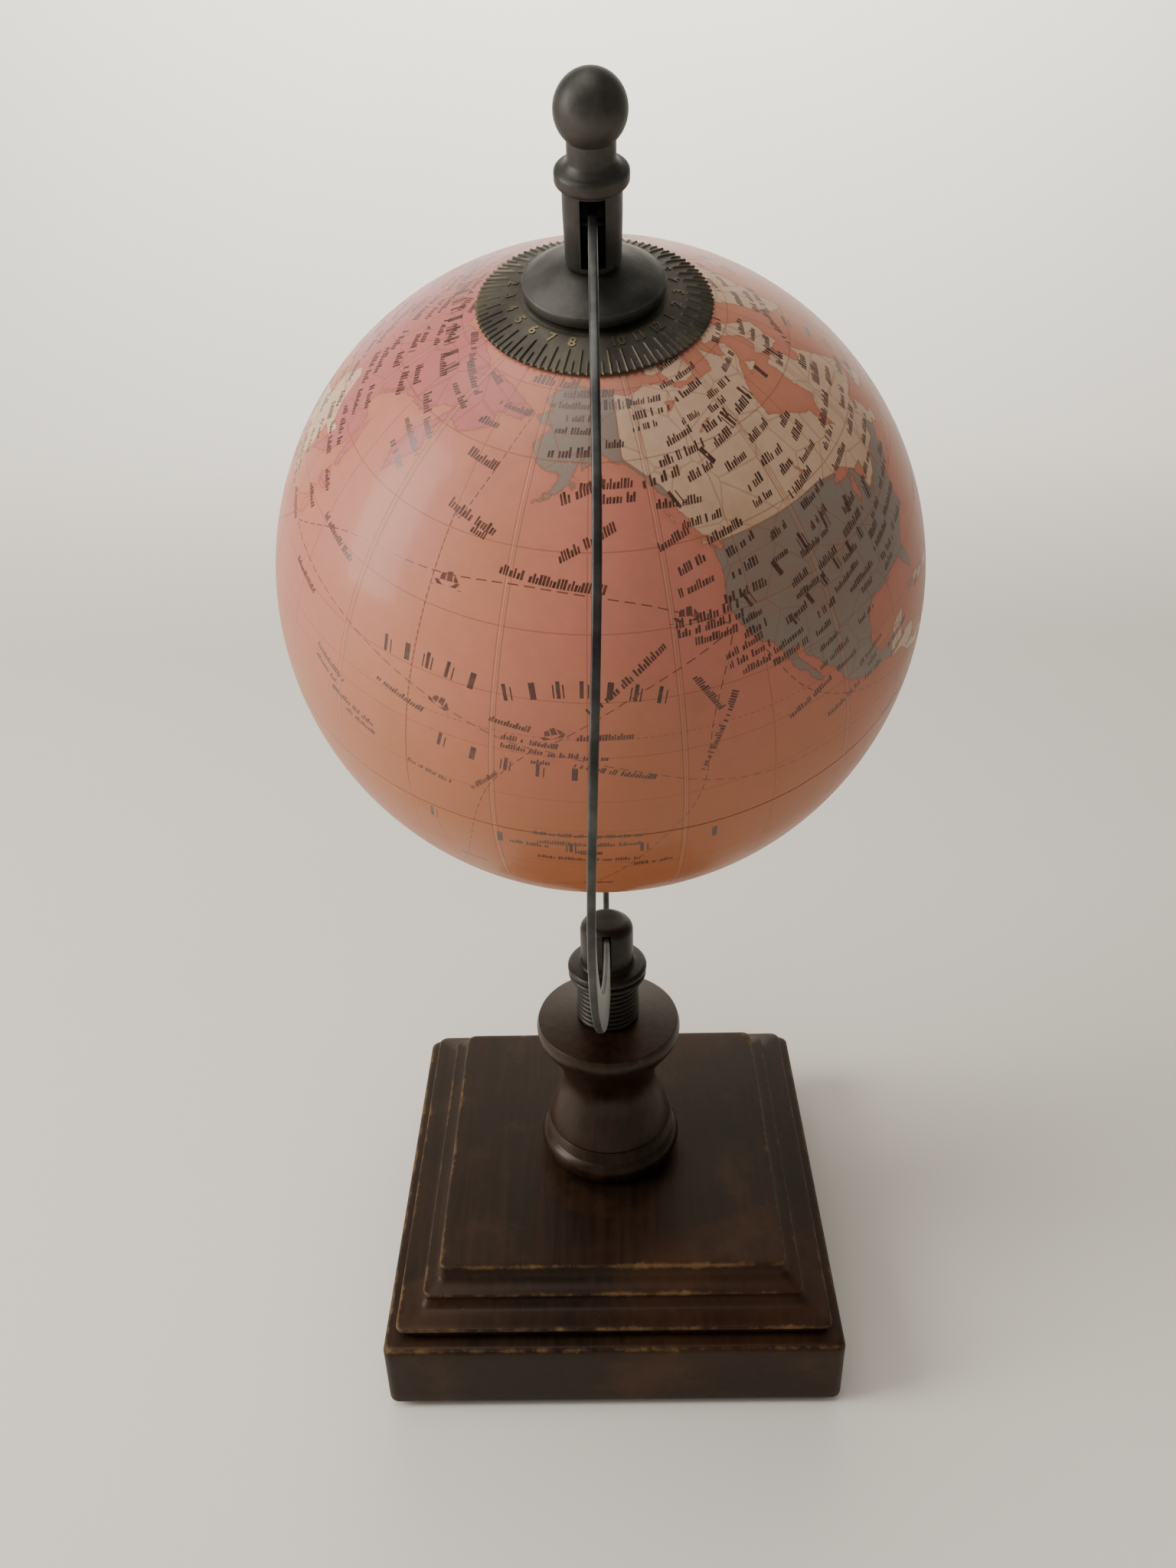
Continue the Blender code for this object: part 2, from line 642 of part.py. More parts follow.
stub_pin, stem_pin = 2 * STUB_RADIUS - 0.0004, 2 * STEM_RADIUS - 0.0008
socket_pin_hole = cross_pin("socket_cross_pin", stub_pin, (0, 0, ARM_LOW), steel)
north_pin_hole = cross_pin("north_cross_pin", stem_pin, (0, 0, NORTH_TONGUE), steel, axis_frame)
south_pin_hole = cross_pin("south_cross_pin", stem_pin, (0, 0, -SOUTH_TONGUE), steel, axis_frame)
make_socket(bronze, socket_pin_hole)
make_arm(bronze, [socket_pin_hole, north_pin_hole, south_pin_hole])
make_axle(steel, axis_frame)
make_finial(bronze, axis_frame, north_pin_hole)
make_cap(bronze, axis_frame)
make_dial(bronze, dial_frame)
make_shell("north_hemisphere", paper, globe_frame, False)
make_shell("south_hemisphere", paper, globe_frame, True)
make_hoop(card, globe_frame)
make_bush("north_bush", plastic, globe_frame, False)
make_bush("south_bush", plastic, globe_frame, True)
tube(
    "south_thrust_washer",
    WASHER_RADIUS,
    AXLE_RADIUS + GAP,
    -SOUTH_WASHER_TOP - WASHER_THICKNESS,
    -SOUTH_WASHER_TOP,
    plastic,
    SMALL_STEPS,
    axis_frame,
)
make_south_stem(bronze, axis_frame, south_pin_hole)
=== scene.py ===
import json
import math

import bmesh
import bpy
import numpy as np
from mathutils import Matrix, Vector


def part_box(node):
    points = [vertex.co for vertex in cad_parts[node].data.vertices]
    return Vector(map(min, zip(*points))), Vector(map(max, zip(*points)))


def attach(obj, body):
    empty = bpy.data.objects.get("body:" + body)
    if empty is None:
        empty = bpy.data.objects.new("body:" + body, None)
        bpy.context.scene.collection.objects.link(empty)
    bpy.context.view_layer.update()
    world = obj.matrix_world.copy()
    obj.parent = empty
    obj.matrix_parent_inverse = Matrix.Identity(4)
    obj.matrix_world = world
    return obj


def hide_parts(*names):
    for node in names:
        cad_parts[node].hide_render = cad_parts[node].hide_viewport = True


# A desk globe with a dark metal arm, on a turned pedestal and a stepped base, drawn round its CAD nodes.
# Metres, with +Z up and the front towards -Y.

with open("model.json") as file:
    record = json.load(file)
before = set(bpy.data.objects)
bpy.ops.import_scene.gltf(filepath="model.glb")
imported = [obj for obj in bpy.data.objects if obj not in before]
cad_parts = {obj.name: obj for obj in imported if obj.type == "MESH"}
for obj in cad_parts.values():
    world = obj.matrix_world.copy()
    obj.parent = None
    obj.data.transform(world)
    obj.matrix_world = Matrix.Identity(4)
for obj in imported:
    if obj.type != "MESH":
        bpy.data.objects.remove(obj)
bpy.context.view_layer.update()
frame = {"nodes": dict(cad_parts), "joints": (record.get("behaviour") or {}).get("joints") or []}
nodes = frame["nodes"]
print("frame loaded:", len(nodes), "nodes")

# the globe's own frame: its centre, the way north, the way east at the middle of its front, and the way back
spin = next(joint for joint in frame["joints"] if joint["name"] == "globe_spin")
globeCentre = np.array(spin["pos_m"])
north = np.array(spin["axis"]) / np.linalg.norm(spin["axis"])
east = np.array((1.0, 0.0, 0.0))
back = np.cross(north, east)
axisFrame = (globeCentre, east, back, north)
uprightFrame = (np.zeros(3), np.array((1.0, 0, 0)), np.array((0, 1.0, 0)), np.array((0, 0, 1.0)))
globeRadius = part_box("north_hemisphere")[1].x
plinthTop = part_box("plinth")[1].z


# surfaces

def gridFaces(rows, cols, closeRows=False, closeCols=False):
    # The cell (i, j) is the quad of points (i, j), (i + 1, j), (i + 1, j + 1), (i, j + 1).
    i, j = np.meshgrid(np.arange(rows - (not closeRows)), np.arange(cols - (not closeCols)), indexing="ij")
    nextRow, nextCol = (i + 1) % rows * cols, (j + 1) % cols
    return np.stack((i * cols + j, nextRow + j, nextRow + nextCol, i * cols + nextCol), -1).reshape(-1, 4)


def addObject(name, data):
    made = bpy.data.objects.new(name, data)
    bpy.context.scene.collection.objects.link(made)
    return made


def readPlaces(mesh):
    # Every vertex's x, y and z, a row each.
    places = np.zeros(len(mesh.vertices) * 3)
    mesh.vertices.foreach_get("co", places)
    return places.reshape(-1, 3)


def storeField(piece, name, values):
    # One number for each vertex, for a material to read.
    field = piece.data.attributes.new(name, "FLOAT", "POINT").data
    field.foreach_set("value", values.astype(np.float32).ravel())


def makePiece(name, points, faces, material, body, seal=True, smooth=True):
    # One mesh from points and faces, riding on a body. Points that coincide are made one where it is sealed.
    mesh = bpy.data.meshes.new(name)
    mesh.from_pydata(points.reshape(-1, 3).tolist(), [], faces if isinstance(faces, list) else faces.tolist())
    if seal:
        shape = bmesh.new()
        shape.from_mesh(mesh)
        bmesh.ops.remove_doubles(shape, verts=shape.verts, dist=1e-7)
        shape.to_mesh(mesh)
        shape.free()
    mesh.polygons.foreach_set("use_smooth", np.full(len(mesh.polygons), smooth))
    mesh.materials.append(material)
    piece = addObject(name, mesh)
    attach(piece, body)
    return piece


def inFrame(axes, x, y, z):
    # The point x, y, z of a frame: origin + x * its first axis + y * its second + z * its third.
    origin, first, second, third = axes
    return origin + x[..., None] * first + y[..., None] * second + z[..., None] * third


def turnedPoints(profile, steps, axes):
    # The profile's (r, h) turned through angle a: (r cos a, r sin a, h) in the given frame.
    angle = np.arange(steps) * 2 * np.pi / steps
    r, h = np.array(profile).T[:, :, None]
    return inFrame(axes, r * np.cos(angle), r * np.sin(angle), h + 0 * angle)


def smoothLine(points, steps):
    # A Catmull-Rom curve: each span's point is the cubic in t that passes its two ends with the slope of their
    # neighbours' chord.
    line = np.array(points, float)
    ends = np.vstack((line[:1], line, line[-1:]))
    t = (np.arange(steps) / steps)[None, :, None]
    p, q, r, s = (ends[k:len(ends) - 3 + k][:, None, :] for k in range(4))
    spans = 0.5 * (2 * q + (r - p) * t + (2 * p - 5 * q + 4 * r - s) * t**2 + (3 * q - p - 3 * r + s) * t**3)
    return np.vstack((spans.reshape(-1, line.shape[1]), line[-1:]))


def arcLine(centre, radius, start, end, steps):
    # centre + radius * (cos a, sin a) for angles a from start to end, in degrees.
    angle = np.radians(np.linspace(start, end, steps + 1))
    return np.stack((centre[0] + radius * np.cos(angle), centre[1] + radius * np.sin(angle)), 1)


def cutWith(piece, low, high, axes):
    # Takes the box from low to high, in the given frame, out of the piece.
    corners = np.array([[x, y, z] for x in (low[0], high[0]) for y in (low[1], high[1]) for z in (low[2], high[2])])
    faces = [(0, 1, 3, 2), (4, 6, 7, 5), (0, 4, 5, 1), (2, 3, 7, 6), (0, 2, 6, 4), (1, 5, 7, 3)]
    mesh = bpy.data.meshes.new("cutter")
    mesh.from_pydata(inFrame(axes, *corners.T).tolist(), [], faces)
    cutter = addObject("cutter", mesh)
    cut = piece.modifiers.new("cut", "BOOLEAN")
    cut.object = cutter
    bpy.context.view_layer.update()
    evaluated = piece.evaluated_get(bpy.context.evaluated_depsgraph_get())
    result = bpy.data.meshes.new_from_object(evaluated)
    piece.modifiers.clear()
    result.name = piece.name
    piece.data = result
    result.set_sharp_from_angle(angle=math.radians(40))
    bpy.data.objects.remove(cutter)
    bpy.data.meshes.remove(mesh)


# materials

class Value:
    # One output of a node. Python's operators add Math nodes to the same material.
    def __init__(self, paint, made, output=0):
        self.paint, self.made, self.socket = paint, made, made.outputs[output]

    def maths(self, operation, *inputs):
        return self.paint.node("ShaderNodeMath", {"operation": operation}, inputs)

    def __add__(self, other):
        return self.maths("ADD", self, other)

    def __sub__(self, other):
        return self.maths("SUBTRACT", self, other)

    def __rsub__(self, other):
        return self.maths("SUBTRACT", other, self)

    def __mul__(self, other):
        return self.maths("MULTIPLY", self, other)

    def __truediv__(self, other):
        return self.maths("DIVIDE", self, other)

    def __rtruediv__(self, other):
        return self.maths("DIVIDE", other, self)

    def __pow__(self, other):
        return self.maths("POWER", self, other)

    def __abs__(self):
        return self.maths("ABSOLUTE", self)

    __radd__ = __add__
    __rmul__ = __mul__


class Paint:
    # A material. What is the same all over is set on its shader, and what varies is fed from nodes.
    def __init__(self, name, **constants):
        self.material = bpy.data.materials.new(name)
        self.material.use_nodes = True
        self.tree = self.material.node_tree
        self.shader = self.tree.nodes["Principled BSDF"]
        for key, value in constants.items():  # coatWeight sets the socket Coat Weight
            words = "".join(" " + letter if letter.isupper() else letter for letter in key)
            self.shader.inputs[(words[:1].upper() + words[1:]).replace("I O R", "IOR")].default_value = value

    def node(self, kind, settings, inputs, output=0):
        made = self.tree.nodes.new(kind)
        for key, value in settings.items():
            setattr(made, key, value)
        for key, value in inputs.items() if isinstance(inputs, dict) else enumerate(inputs):
            if isinstance(value, Value):
                self.tree.links.new(value.socket, made.inputs[key])
            else:
                made.inputs[key].default_value = value
        return Value(self, made, output)

    def place(self):
        return self.node("ShaderNodeTexCoord", {}, {}, "Object")

    def attribute(self, name):
        return self.node("ShaderNodeAttribute", {"attribute_name": name}, {}, "Fac")

    def noise(self, scale, detail=2.0, roughness=0.5, stretch=(1, 1, 1), distortion=0.0):
        where = self.place()
        if stretch != (1, 1, 1):
            where = self.node("ShaderNodeMapping", {}, {"Vector": where, "Scale": stretch}, "Vector")
        inputs = {"Vector": where, "Scale": scale, "Detail": detail, "Roughness": roughness, "Distortion": distortion}
        return self.node("ShaderNodeTexNoise", {}, inputs, 0)

    def rise(self, value, low, high, bottom=0.0, top=1.0):
        inputs = {"Value": value, "From Min": low, "From Max": high, "To Min": bottom, "To Max": top}
        return self.node("ShaderNodeMapRange", {"interpolation_type": "SMOOTHSTEP"}, inputs, 0)

    def mix(self, factor, first, second):
        # Inputs 6 and 7 and output 2 are the node's colours.
        first, second = (value if isinstance(value, Value) else (*value, 1.0) for value in (first, second))
        return self.node("ShaderNodeMix", {"data_type": "RGBA"}, {0: factor, 6: first, 7: second}, 2)

    def bump(self, height, distance, strength=1.0):
        return self.node("ShaderNodeBump", {}, {"Height": height, "Distance": distance, "Strength": strength}, 0)

    def feed(self, **links):
        for name, value in links.items():
            self.tree.links.new(value.socket, self.shader.inputs[name.replace("_", " ")])
        return self.material


# camera and studio

cameraSettings = {
    "place": (0.0008, -0.2846, 0.3043),  # from the middle of the plinth's top
    "pitchDown": 29.77,
    "yaw": -0.99,
    "roll": 1.49,
    "lens": 28.907,
    "sensor": 36.0,
}
studioSettings = {
    "bend": 0.9,  # where the floor starts to curve up
    "floorColour": (0.86, 0.82, 0.75),
    "worldColour": (0.82, 0.80, 0.76),
    "worldStrength": 0.26,
    # name: place, aimed at, width and height, watts, colour
    "lights": {
        "window": ((-1.15, -0.20, 0.70), (0, 0, 0.22), (0.5, 1.0), 18.0, (1.0, 0.965, 0.92)),
        "ceiling": ((-0.25, -0.05, 1.30), (0, 0, 0.2), (0.8, 0.8), 8.0, (1.0, 0.96, 0.90)),
        "frontFill": ((0.35, -1.2, 0.45), (0, 0, 0.15), (0.9, 0.7), 0.5, (1.0, 0.90, 0.78)),
        "backdrop": ((0.0, 1.0, 1.30), (0, 2.6, 0.65), (1.8, 0.9), 52.0, (1.0, 0.98, 0.95)),
    },
}


def makeCamera(settings):
    # The view is turned by yaw about the upright, tipped down by pitch, and rolled about its own line of sight.
    pitch, yaw, roll = (math.radians(settings[key]) for key in ("pitchDown", "yaw", "roll"))
    forward = np.array((math.sin(yaw) * math.cos(pitch), math.cos(yaw) * math.cos(pitch), -math.sin(pitch)))
    level = np.array((math.cos(yaw), -math.sin(yaw), 0.0))
    down = np.cross(forward, level)
    right = level * math.cos(roll) + down * math.sin(roll)
    up = level * math.sin(roll) - down * math.cos(roll)
    data = bpy.data.cameras.new("camera")
    data.sensor_width = settings["sensor"]
    data.lens = settings["lens"]
    data.clip_start = 0.01
    camera = addObject("camera", data)
    matrix = Matrix.Identity(4)
    for row in range(3):
        matrix[row][0], matrix[row][1], matrix[row][2] = right[row], up[row], -forward[row]
        matrix[row][3] = settings["place"][row] + (plinthTop if row == 2 else 0.0)
    camera.matrix_world = matrix
    bpy.context.scene.camera = camera


def makeStudio(settings):
    # The floor runs back and curves up into a wall: its height is (y - bend)^2 / bend past the bend.
    bend = settings["bend"]
    x = np.linspace(-2.5, 2.5, 3)
    y = np.concatenate((np.linspace(-2.5, bend, 8), np.linspace(bend + 0.1, 2.6, 24)))
    height = np.where(y > bend, (y - bend) ** 2 / bend, 0.0)
    gridX, gridY = np.meshgrid(x, y)
    points = np.stack((gridX, gridY, np.broadcast_to(height[:, None], gridX.shape)), -1)
    mesh = bpy.data.meshes.new("floor")
    mesh.from_pydata(points.reshape(-1, 3).tolist(), [], gridFaces(len(y), len(x))[:, ::-1].tolist())
    mesh.polygons.foreach_set("use_smooth", np.ones(len(mesh.polygons), bool))
    floorPaint = Paint("studioFloor", roughness=0.7)
    tone = floorPaint.noise(6.0, 3.0)
    pale = settings["floorColour"]
    mesh.materials.append(floorPaint.feed(Base_Color=floorPaint.mix(tone, pale, tuple(0.96 * c for c in pale))))
    addObject("floor", mesh)
    world = bpy.data.worlds.new("studio")
    world.use_nodes = True
    background = world.node_tree.nodes["Background"]
    background.inputs["Color"].default_value = (*settings["worldColour"], 1.0)
    background.inputs["Strength"].default_value = settings["worldStrength"]
    bpy.context.scene.world = world
    for name, (place, target, size, watts, colour) in settings["lights"].items():
        data = bpy.data.lights.new(name, "AREA")
        data.shape = "RECTANGLE"
        data.size, data.size_y = size
        data.energy, data.color = watts, colour
        light = addObject(name, data)
        light.location = place
        light.rotation_euler = (Vector(target) - light.location).to_track_quat("-Z", "Y").to_euler()


makeCamera(cameraSettings)
makeStudio(studioSettings)
print("camera and studio made")

# finishes

woodSettings = {
    "deep": (0.0060, 0.0028, 0.0018),
    "brown": (0.024, 0.0105, 0.0058),
    "red": (0.050, 0.0160, 0.0070),
    "amber": (0.070, 0.031, 0.0115),
    "rubbed": (0.165, 0.098, 0.042),
}


def makeWood(name, grainStretch, gloss, coat, settings):
    # Stain over straight grain, cloudy where it was wiped, and rubbed through where the wear attribute is high.
    warm = (1.0, 0.80, 0.60, 1.0)
    paint = Paint(name, coatRoughness=0.26, coatTint=warm, specularIORLevel=0.22, specularTint=warm)
    grain = paint.noise(420.0, 5.0, 0.65, grainStretch, 0.6)
    cloud = paint.noise(38.0, 4.0, 0.6)
    broad = paint.noise(14.0, 2.0, 0.5)
    stain = paint.mix(paint.rise(grain * 0.7 + cloud * 0.5, 0.42, 0.85), settings["deep"], settings["brown"])
    stain = paint.mix(paint.rise(broad, 0.50, 0.72, 0.0, 0.55), stain, settings["red"])
    scuff = paint.noise(240.0, 6.0, 0.7)
    amber = paint.noise(48.0, 4.0, 0.55)
    stain = paint.mix(paint.rise(amber + (scuff - 0.5) * 0.35 + (broad - 0.5) * 0.5, 0.48, 0.78, 0.0, 0.38), stain,
                      settings["amber"])
    rub = paint.rise(paint.attribute("wear") * 0.85 + (scuff - 0.5) * 1.9 + (amber - 0.5) * 1.7, 0.55, 1.25)
    speck = paint.rise(paint.noise(900.0, 2.0, 0.5), 0.70, 0.78, 0.0, 0.35) * paint.rise(cloud, 0.5, 0.65)
    colour = paint.mix(rub * 0.8, stain, settings["rubbed"])
    colour = paint.mix(speck, colour, settings["rubbed"])
    rough = gloss + (grain - 0.5) * 0.25 + rub * 0.2 + (cloud - 0.5) * 0.25
    height = grain * 0.35 + scuff * 0.2 - rub * 0.3
    return paint.feed(Base_Color=colour, Roughness=rough, Normal=paint.bump(height, 0.00035, 0.55),
                      Coat_Weight=(1.0 - rub) * coat)


metalSettings = {
    "bronze": {"dark": (0.030, 0.028, 0.024), "light": (0.082, 0.078, 0.069), "worn": (0.16, 0.14, 0.115)},
    "dial": {"dark": (0.034, 0.030, 0.022), "light": (0.088, 0.078, 0.058), "worn": (0.20, 0.15, 0.08)},
    "brass": {"dark": (0.055, 0.044, 0.026), "light": (0.22, 0.17, 0.085), "worn": (0.42, 0.31, 0.14)},
    "socket": {"dark": (0.012, 0.010, 0.008), "light": (0.036, 0.030, 0.023), "worn": (0.13, 0.10, 0.07)},
    "arm": {"dark": (0.035, 0.036, 0.035), "light": (0.10, 0.10, 0.095), "worn": (0.24, 0.23, 0.21)},
    "steel": {"dark": (0.20, 0.19, 0.18), "light": (0.36, 0.35, 0.33), "worn": (0.55, 0.54, 0.52)},
}


def makeMetal(name, colours, metallic, gloss, brightRelief=0.0):
    # Patina in soft clouds over a cast skin with fine pits, rubbed bright in small scuffs.
    paint = Paint(name, metallic=metallic, specularIORLevel=0.5)
    cloud = paint.noise(90.0, 4.0, 0.6)
    fine = paint.noise(1300.0, 3.0, 0.6)
    scuff = paint.rise(paint.noise(500.0, 5.0, 0.75), 0.66, 0.75) * paint.rise(cloud, 0.50, 0.66)
    colour = paint.mix(paint.rise(cloud, 0.30, 0.72), colours["dark"], colours["light"])
    colour = paint.mix(scuff * 0.7, colour, colours["worn"])
    if brightRelief:
        bright = paint.attribute("raised") * paint.rise(cloud + (fine - 0.5) * 0.4, 0.40, 0.62, 0.25, 1.0)
        colour = paint.mix(bright * brightRelief, colour, colours["worn"])
    rough = gloss + (cloud - 0.5) * 0.25 + (fine - 0.5) * 0.12
    return paint.feed(Base_Color=colour, Roughness=rough, Normal=paint.bump(fine * 0.5 + cloud, 0.00012, 0.5))


def makePlain(name, colour, rough, grain):
    # One colour with a fine mottle and a grain that lifts it a little.
    paint = Paint(name)
    mottle = paint.noise(grain, 3.0, 0.6)
    dark = tuple(0.6 * c for c in colour)
    return paint.feed(Base_Color=paint.mix(mottle, dark, colour), Roughness=rough + (mottle - 0.5) * 0.2,
                      Normal=paint.bump(mottle, 0.0002, 0.6))


grainAlongY = makeWood("stainedPlank", (1.0, 0.05, 1.0), 0.52, 0.10, woodSettings)
grainUpright = makeWood("stainedTurning", (1.0, 1.0, 0.06), 0.42, 0.22, woodSettings)
bronze = makeMetal("darkBronze", metalSettings["bronze"], 0.6, 0.52)
dialBronze = makeMetal("dialBronze", metalSettings["dial"], 0.6, 0.5, 0.55)
dialBrass = makeMetal("dialBrass", metalSettings["brass"], 0.8, 0.42)
socketBronze = makeMetal("socketBronze", metalSettings["socket"], 0.6, 0.42)
armMetal = makeMetal("armMetal", metalSettings["arm"], 0.8, 0.42)
steel = makeMetal("pinSteel", metalSettings["steel"], 1.0, 0.35)
felt = makePlain("felt", (0.035, 0.05, 0.04), 0.95, 900.0)
card = makePlain("card", (0.40, 0.32, 0.23), 0.9, 400.0)
bushPlastic = makePlain("bushPlastic", (0.05, 0.05, 0.05), 0.5, 600.0)

keptNodes = {
    "felt_sheet": felt, "tie_bolt": steel, "tie_washer": steel, "axle_rod": steel, "socket_cross_pin": armMetal,
    "north_cross_pin": socketBronze, "south_cross_pin": socketBronze, "south_thrust_washer": bushPlastic,
    "north_bush": bushPlastic, "south_bush": bushPlastic, "equator_hoop": card,
}
for name, material in keptNodes.items():
    nodes[name].data.materials.clear()
    nodes[name].data.materials.append(material)
print("finishes made")

# base

baseSettings = {
    "corner": 0.0026,  # radius of the upright corners
    "plinthEdge": 0.0019,
    "lipEdge": 0.0007,
    "cornerSteps": 6,
    "sideSteps": 14,
    "wearReach": 0.0011,
    "cornerWear": 0.45,
    "inwards": (0.0072, 0.0117),  # from the block's ledge to its step, and to its top
    "heights": (0.0036, 0.0088),  # of the ledge and the step
}


def squareRing(half, corner, cornerSteps, sideSteps):
    # A square with round corners: each corner is half - corner + corner * (cos a, sin a), and its sides are straight.
    angle = np.linspace(0, np.pi / 2, cornerSteps + 1)
    inner = half - corner
    arc = np.stack((inner + corner * np.cos(angle), inner + corner * np.sin(angle)), -1)
    side = np.linspace(inner, -inner, sideSteps + 1)[1:-1]
    quarter = np.vstack((arc, np.stack((side, np.full(len(side), half)), -1)))
    turns = [np.array(((0, -1), (1, 0))), np.array(((-1, 0), (0, -1))), np.array(((0, 1), (-1, 0)))]
    return np.vstack([quarter] + [quarter @ turn.T for turn in turns])


def squareMoulding(name, profile, lips, node, material, settings):
    # The profile's (half width, height) pairs, each a ring round the square, from the top's middle to the bottom's.
    # Wear is exp(-(distance to the nearest lip / reach)^2), plus a share near the upright corners.
    profile = np.array(profile)
    rings = []
    for half, height in profile:
        corner = min(settings["corner"], 0.45 * half)
        ring = squareRing(half, corner, settings["cornerSteps"], settings["sideSteps"])
        rings.append(np.column_stack((ring, np.full(len(ring), height))))
    points = np.array(rings)
    piece = makePiece(name, points, gridFaces(*points.shape[:2], closeCols=True), material, "stand")
    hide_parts(node)
    place = readPlaces(piece.data)
    half = np.abs(place[:, :2]).max(1)
    fromLip = np.array([np.hypot(half - lip[0], place[:, 2] - lip[1]) for lip in lips]).min(0)
    outermost = profile[:, 0].max()
    diagonal = np.abs(place[:, :2]).min(1) / np.maximum(half, 1e-6)
    atCorner = np.clip((diagonal - 0.965) / 0.035, 0, 1) * (half > 0.5 * outermost)
    storeField(piece, "wear", np.exp(-((fromLip / settings["wearReach"]) ** 2)) + settings["cornerWear"] * atCorner)


def makeBase(settings):
    # The plinth is a slab with rounded edges. The block steps down by two coves, each with a worn lip under it.
    low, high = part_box("plinth")
    half, edge = high.x, settings["plinthEdge"]
    inset = np.array([[0.0, high.z], [0.5 * half, high.z], [half - 3 * edge, high.z]])
    upper = arcLine((half - edge, high.z - edge), edge, 90, 0, 6)
    side = np.array([[half, high.z - 2.5 * edge], [half, (high.z + low.z) / 2], [half, low.z + 2.5 * edge]])
    lower = arcLine((half - edge, low.z + edge), edge, 0, -90, 6)
    foot = np.array([[half - 3 * edge, low.z], [0.5 * half, low.z], [0.0, low.z]])
    lips = [(half - 0.3 * edge, high.z - 0.3 * edge), (half - 0.3 * edge, low.z + 0.3 * edge)]
    squareMoulding("plinthWood", np.vstack((inset, upper, side, lower, foot)), lips, "plinth", grainAlongY, settings)

    low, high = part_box("moulded_block")
    ledge, edge = high.x, settings["lipEdge"]
    step, top = (ledge - inwards for inwards in settings["inwards"])
    ledgeZ, stepZ = (low.z + height for height in settings["heights"])
    topZ = high.z
    profile = np.vstack((
        [[0.0, topZ], [0.5 * top, topZ], [top - 3 * edge, topZ]],
        arcLine((top - edge, topZ - edge), edge, 90, 0, 5),
        smoothLine([(top, topZ - 0.0022), (top + 0.0008, stepZ + 0.0018), (step - 0.0012, stepZ + 0.0004)], 6)[:-1],
        arcLine((step - edge, stepZ - 0.6 * edge), edge, 80, -10, 6),
        smoothLine([(step - 0.0002, stepZ - 0.0020), (step + 0.0014, ledgeZ + 0.0014),
                    (ledge - 0.0014, ledgeZ + 0.0004)], 6)[:-1],
        arcLine((ledge - edge, ledgeZ - 0.6 * edge), edge, 80, -60, 6),
        [[ledge - 1.5 * edge, ledgeZ - 0.0022], [ledge - 1.5 * edge, low.z + 0.0003], [ledge - 3 * edge, low.z],
         [0.5 * ledge, low.z], [0.0, low.z]],
    ))
    lips = [(top - 0.2 * edge, topZ - 0.2 * edge), (step, stepZ), (ledge, ledgeZ)]
    squareMoulding("blockWood", profile, lips, "moulded_block", grainAlongY, settings)


pedestalSettings = {
    "footHeight": 0.0084,
    "waist": 0.0136,
    "groove": (0.0112, 0.0007),  # height over the foot, and depth
    "steps": 128,
}


def makePedestal(settings):
    # A round foot, a groove, a bell that narrows to the waist, and a rim as wide as the foot.
    low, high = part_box("pedestal")
    base, top, foot = low.z, high.z, high.x
    rim, waist = foot, settings["waist"]
    groove, depth = base + settings["groove"][0], settings["groove"][1]
    shoulder = foot - 0.0019
    rimTop = top - 0.0012
    half = settings["footHeight"] / 2
    bell = [(shoulder - 0.0006, groove + depth), (foot - 0.0034, base + 0.0148), (foot - 0.005, base + 0.0192),
            (waist + 0.0007, base + 0.0234), (waist, base + 0.0276), (waist + 0.0004, base + 0.0312),
            (waist + 0.002, base + 0.0352), (rim - 0.0028, base + 0.0395), (rim - 0.0005, base + 0.0432),
            (rim, rimTop - 0.0022), (rim - 0.0006, rimTop)]
    flat = smoothLine([(rim - 0.0006, rimTop), (rim - 0.0022, rimTop + 0.0002), (0.011, top - 0.0002), (0.008, top)], 4)
    profile = np.vstack((
        [[0.0, top], [0.004, top]],
        flat[::-1][:-1],
        smoothLine(bell, 8)[::-1],
        [[shoulder - depth * 1.4, groove + 0.0002], [shoulder - depth * 1.4, groove - 0.0002]],
        [[shoulder, groove - depth]],
        arcLine((foot - half, base + half), half, 60, -60, 18),
        [[foot - half, base + 0.0001], [0.6 * foot, base], [0.0, base]],
    ))
    points = turnedPoints(profile, settings["steps"], uprightFrame)
    piece = makePiece("pedestalWood", points, gridFaces(*points.shape[:2], closeCols=True), grainUpright, "stand")
    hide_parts("pedestal")
    place = readPlaces(piece.data)
    radius = np.hypot(place[:, 0], place[:, 1])
    fromRim = np.hypot(radius - rim, place[:, 2] - (rimTop - 0.0006))
    fromFoot = np.hypot(radius - foot, place[:, 2] - (base + half))
    storeField(piece, "wear", 0.62 * np.exp(-((fromRim / 0.0012) ** 2)) + 0.35 * np.exp(-((fromFoot / 0.002) ** 2)))


makeBase(baseSettings)
makePedestal(pedestalSettings)
print("base and pedestal made")

# metal

def turnedPiece(name, profile, axes, material, node, steps, closed=False):
    # The profile turned right round. A closed one is a ring, and the others end on the axis.
    points = turnedPoints(profile, steps, axes)
    faces = gridFaces(*points.shape[:2], closeRows=closed, closeCols=True)
    piece = makePiece(name, points, faces, material, "stand")
    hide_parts(node)
    return piece


socketSettings = {
    "barrel": 0.0090,
    "stub": 0.0074,
    "collar": (0.0142, 0.0186),  # heights over the socket's foot
    "rings": 9,
    "ringDepth": 0.0006,
    "slot": ((-0.0012, -0.03, 0.1109), (0.0012, 0.03, 0.1212)),  # corners of the box that the slot takes out
    "steps": 128,
}


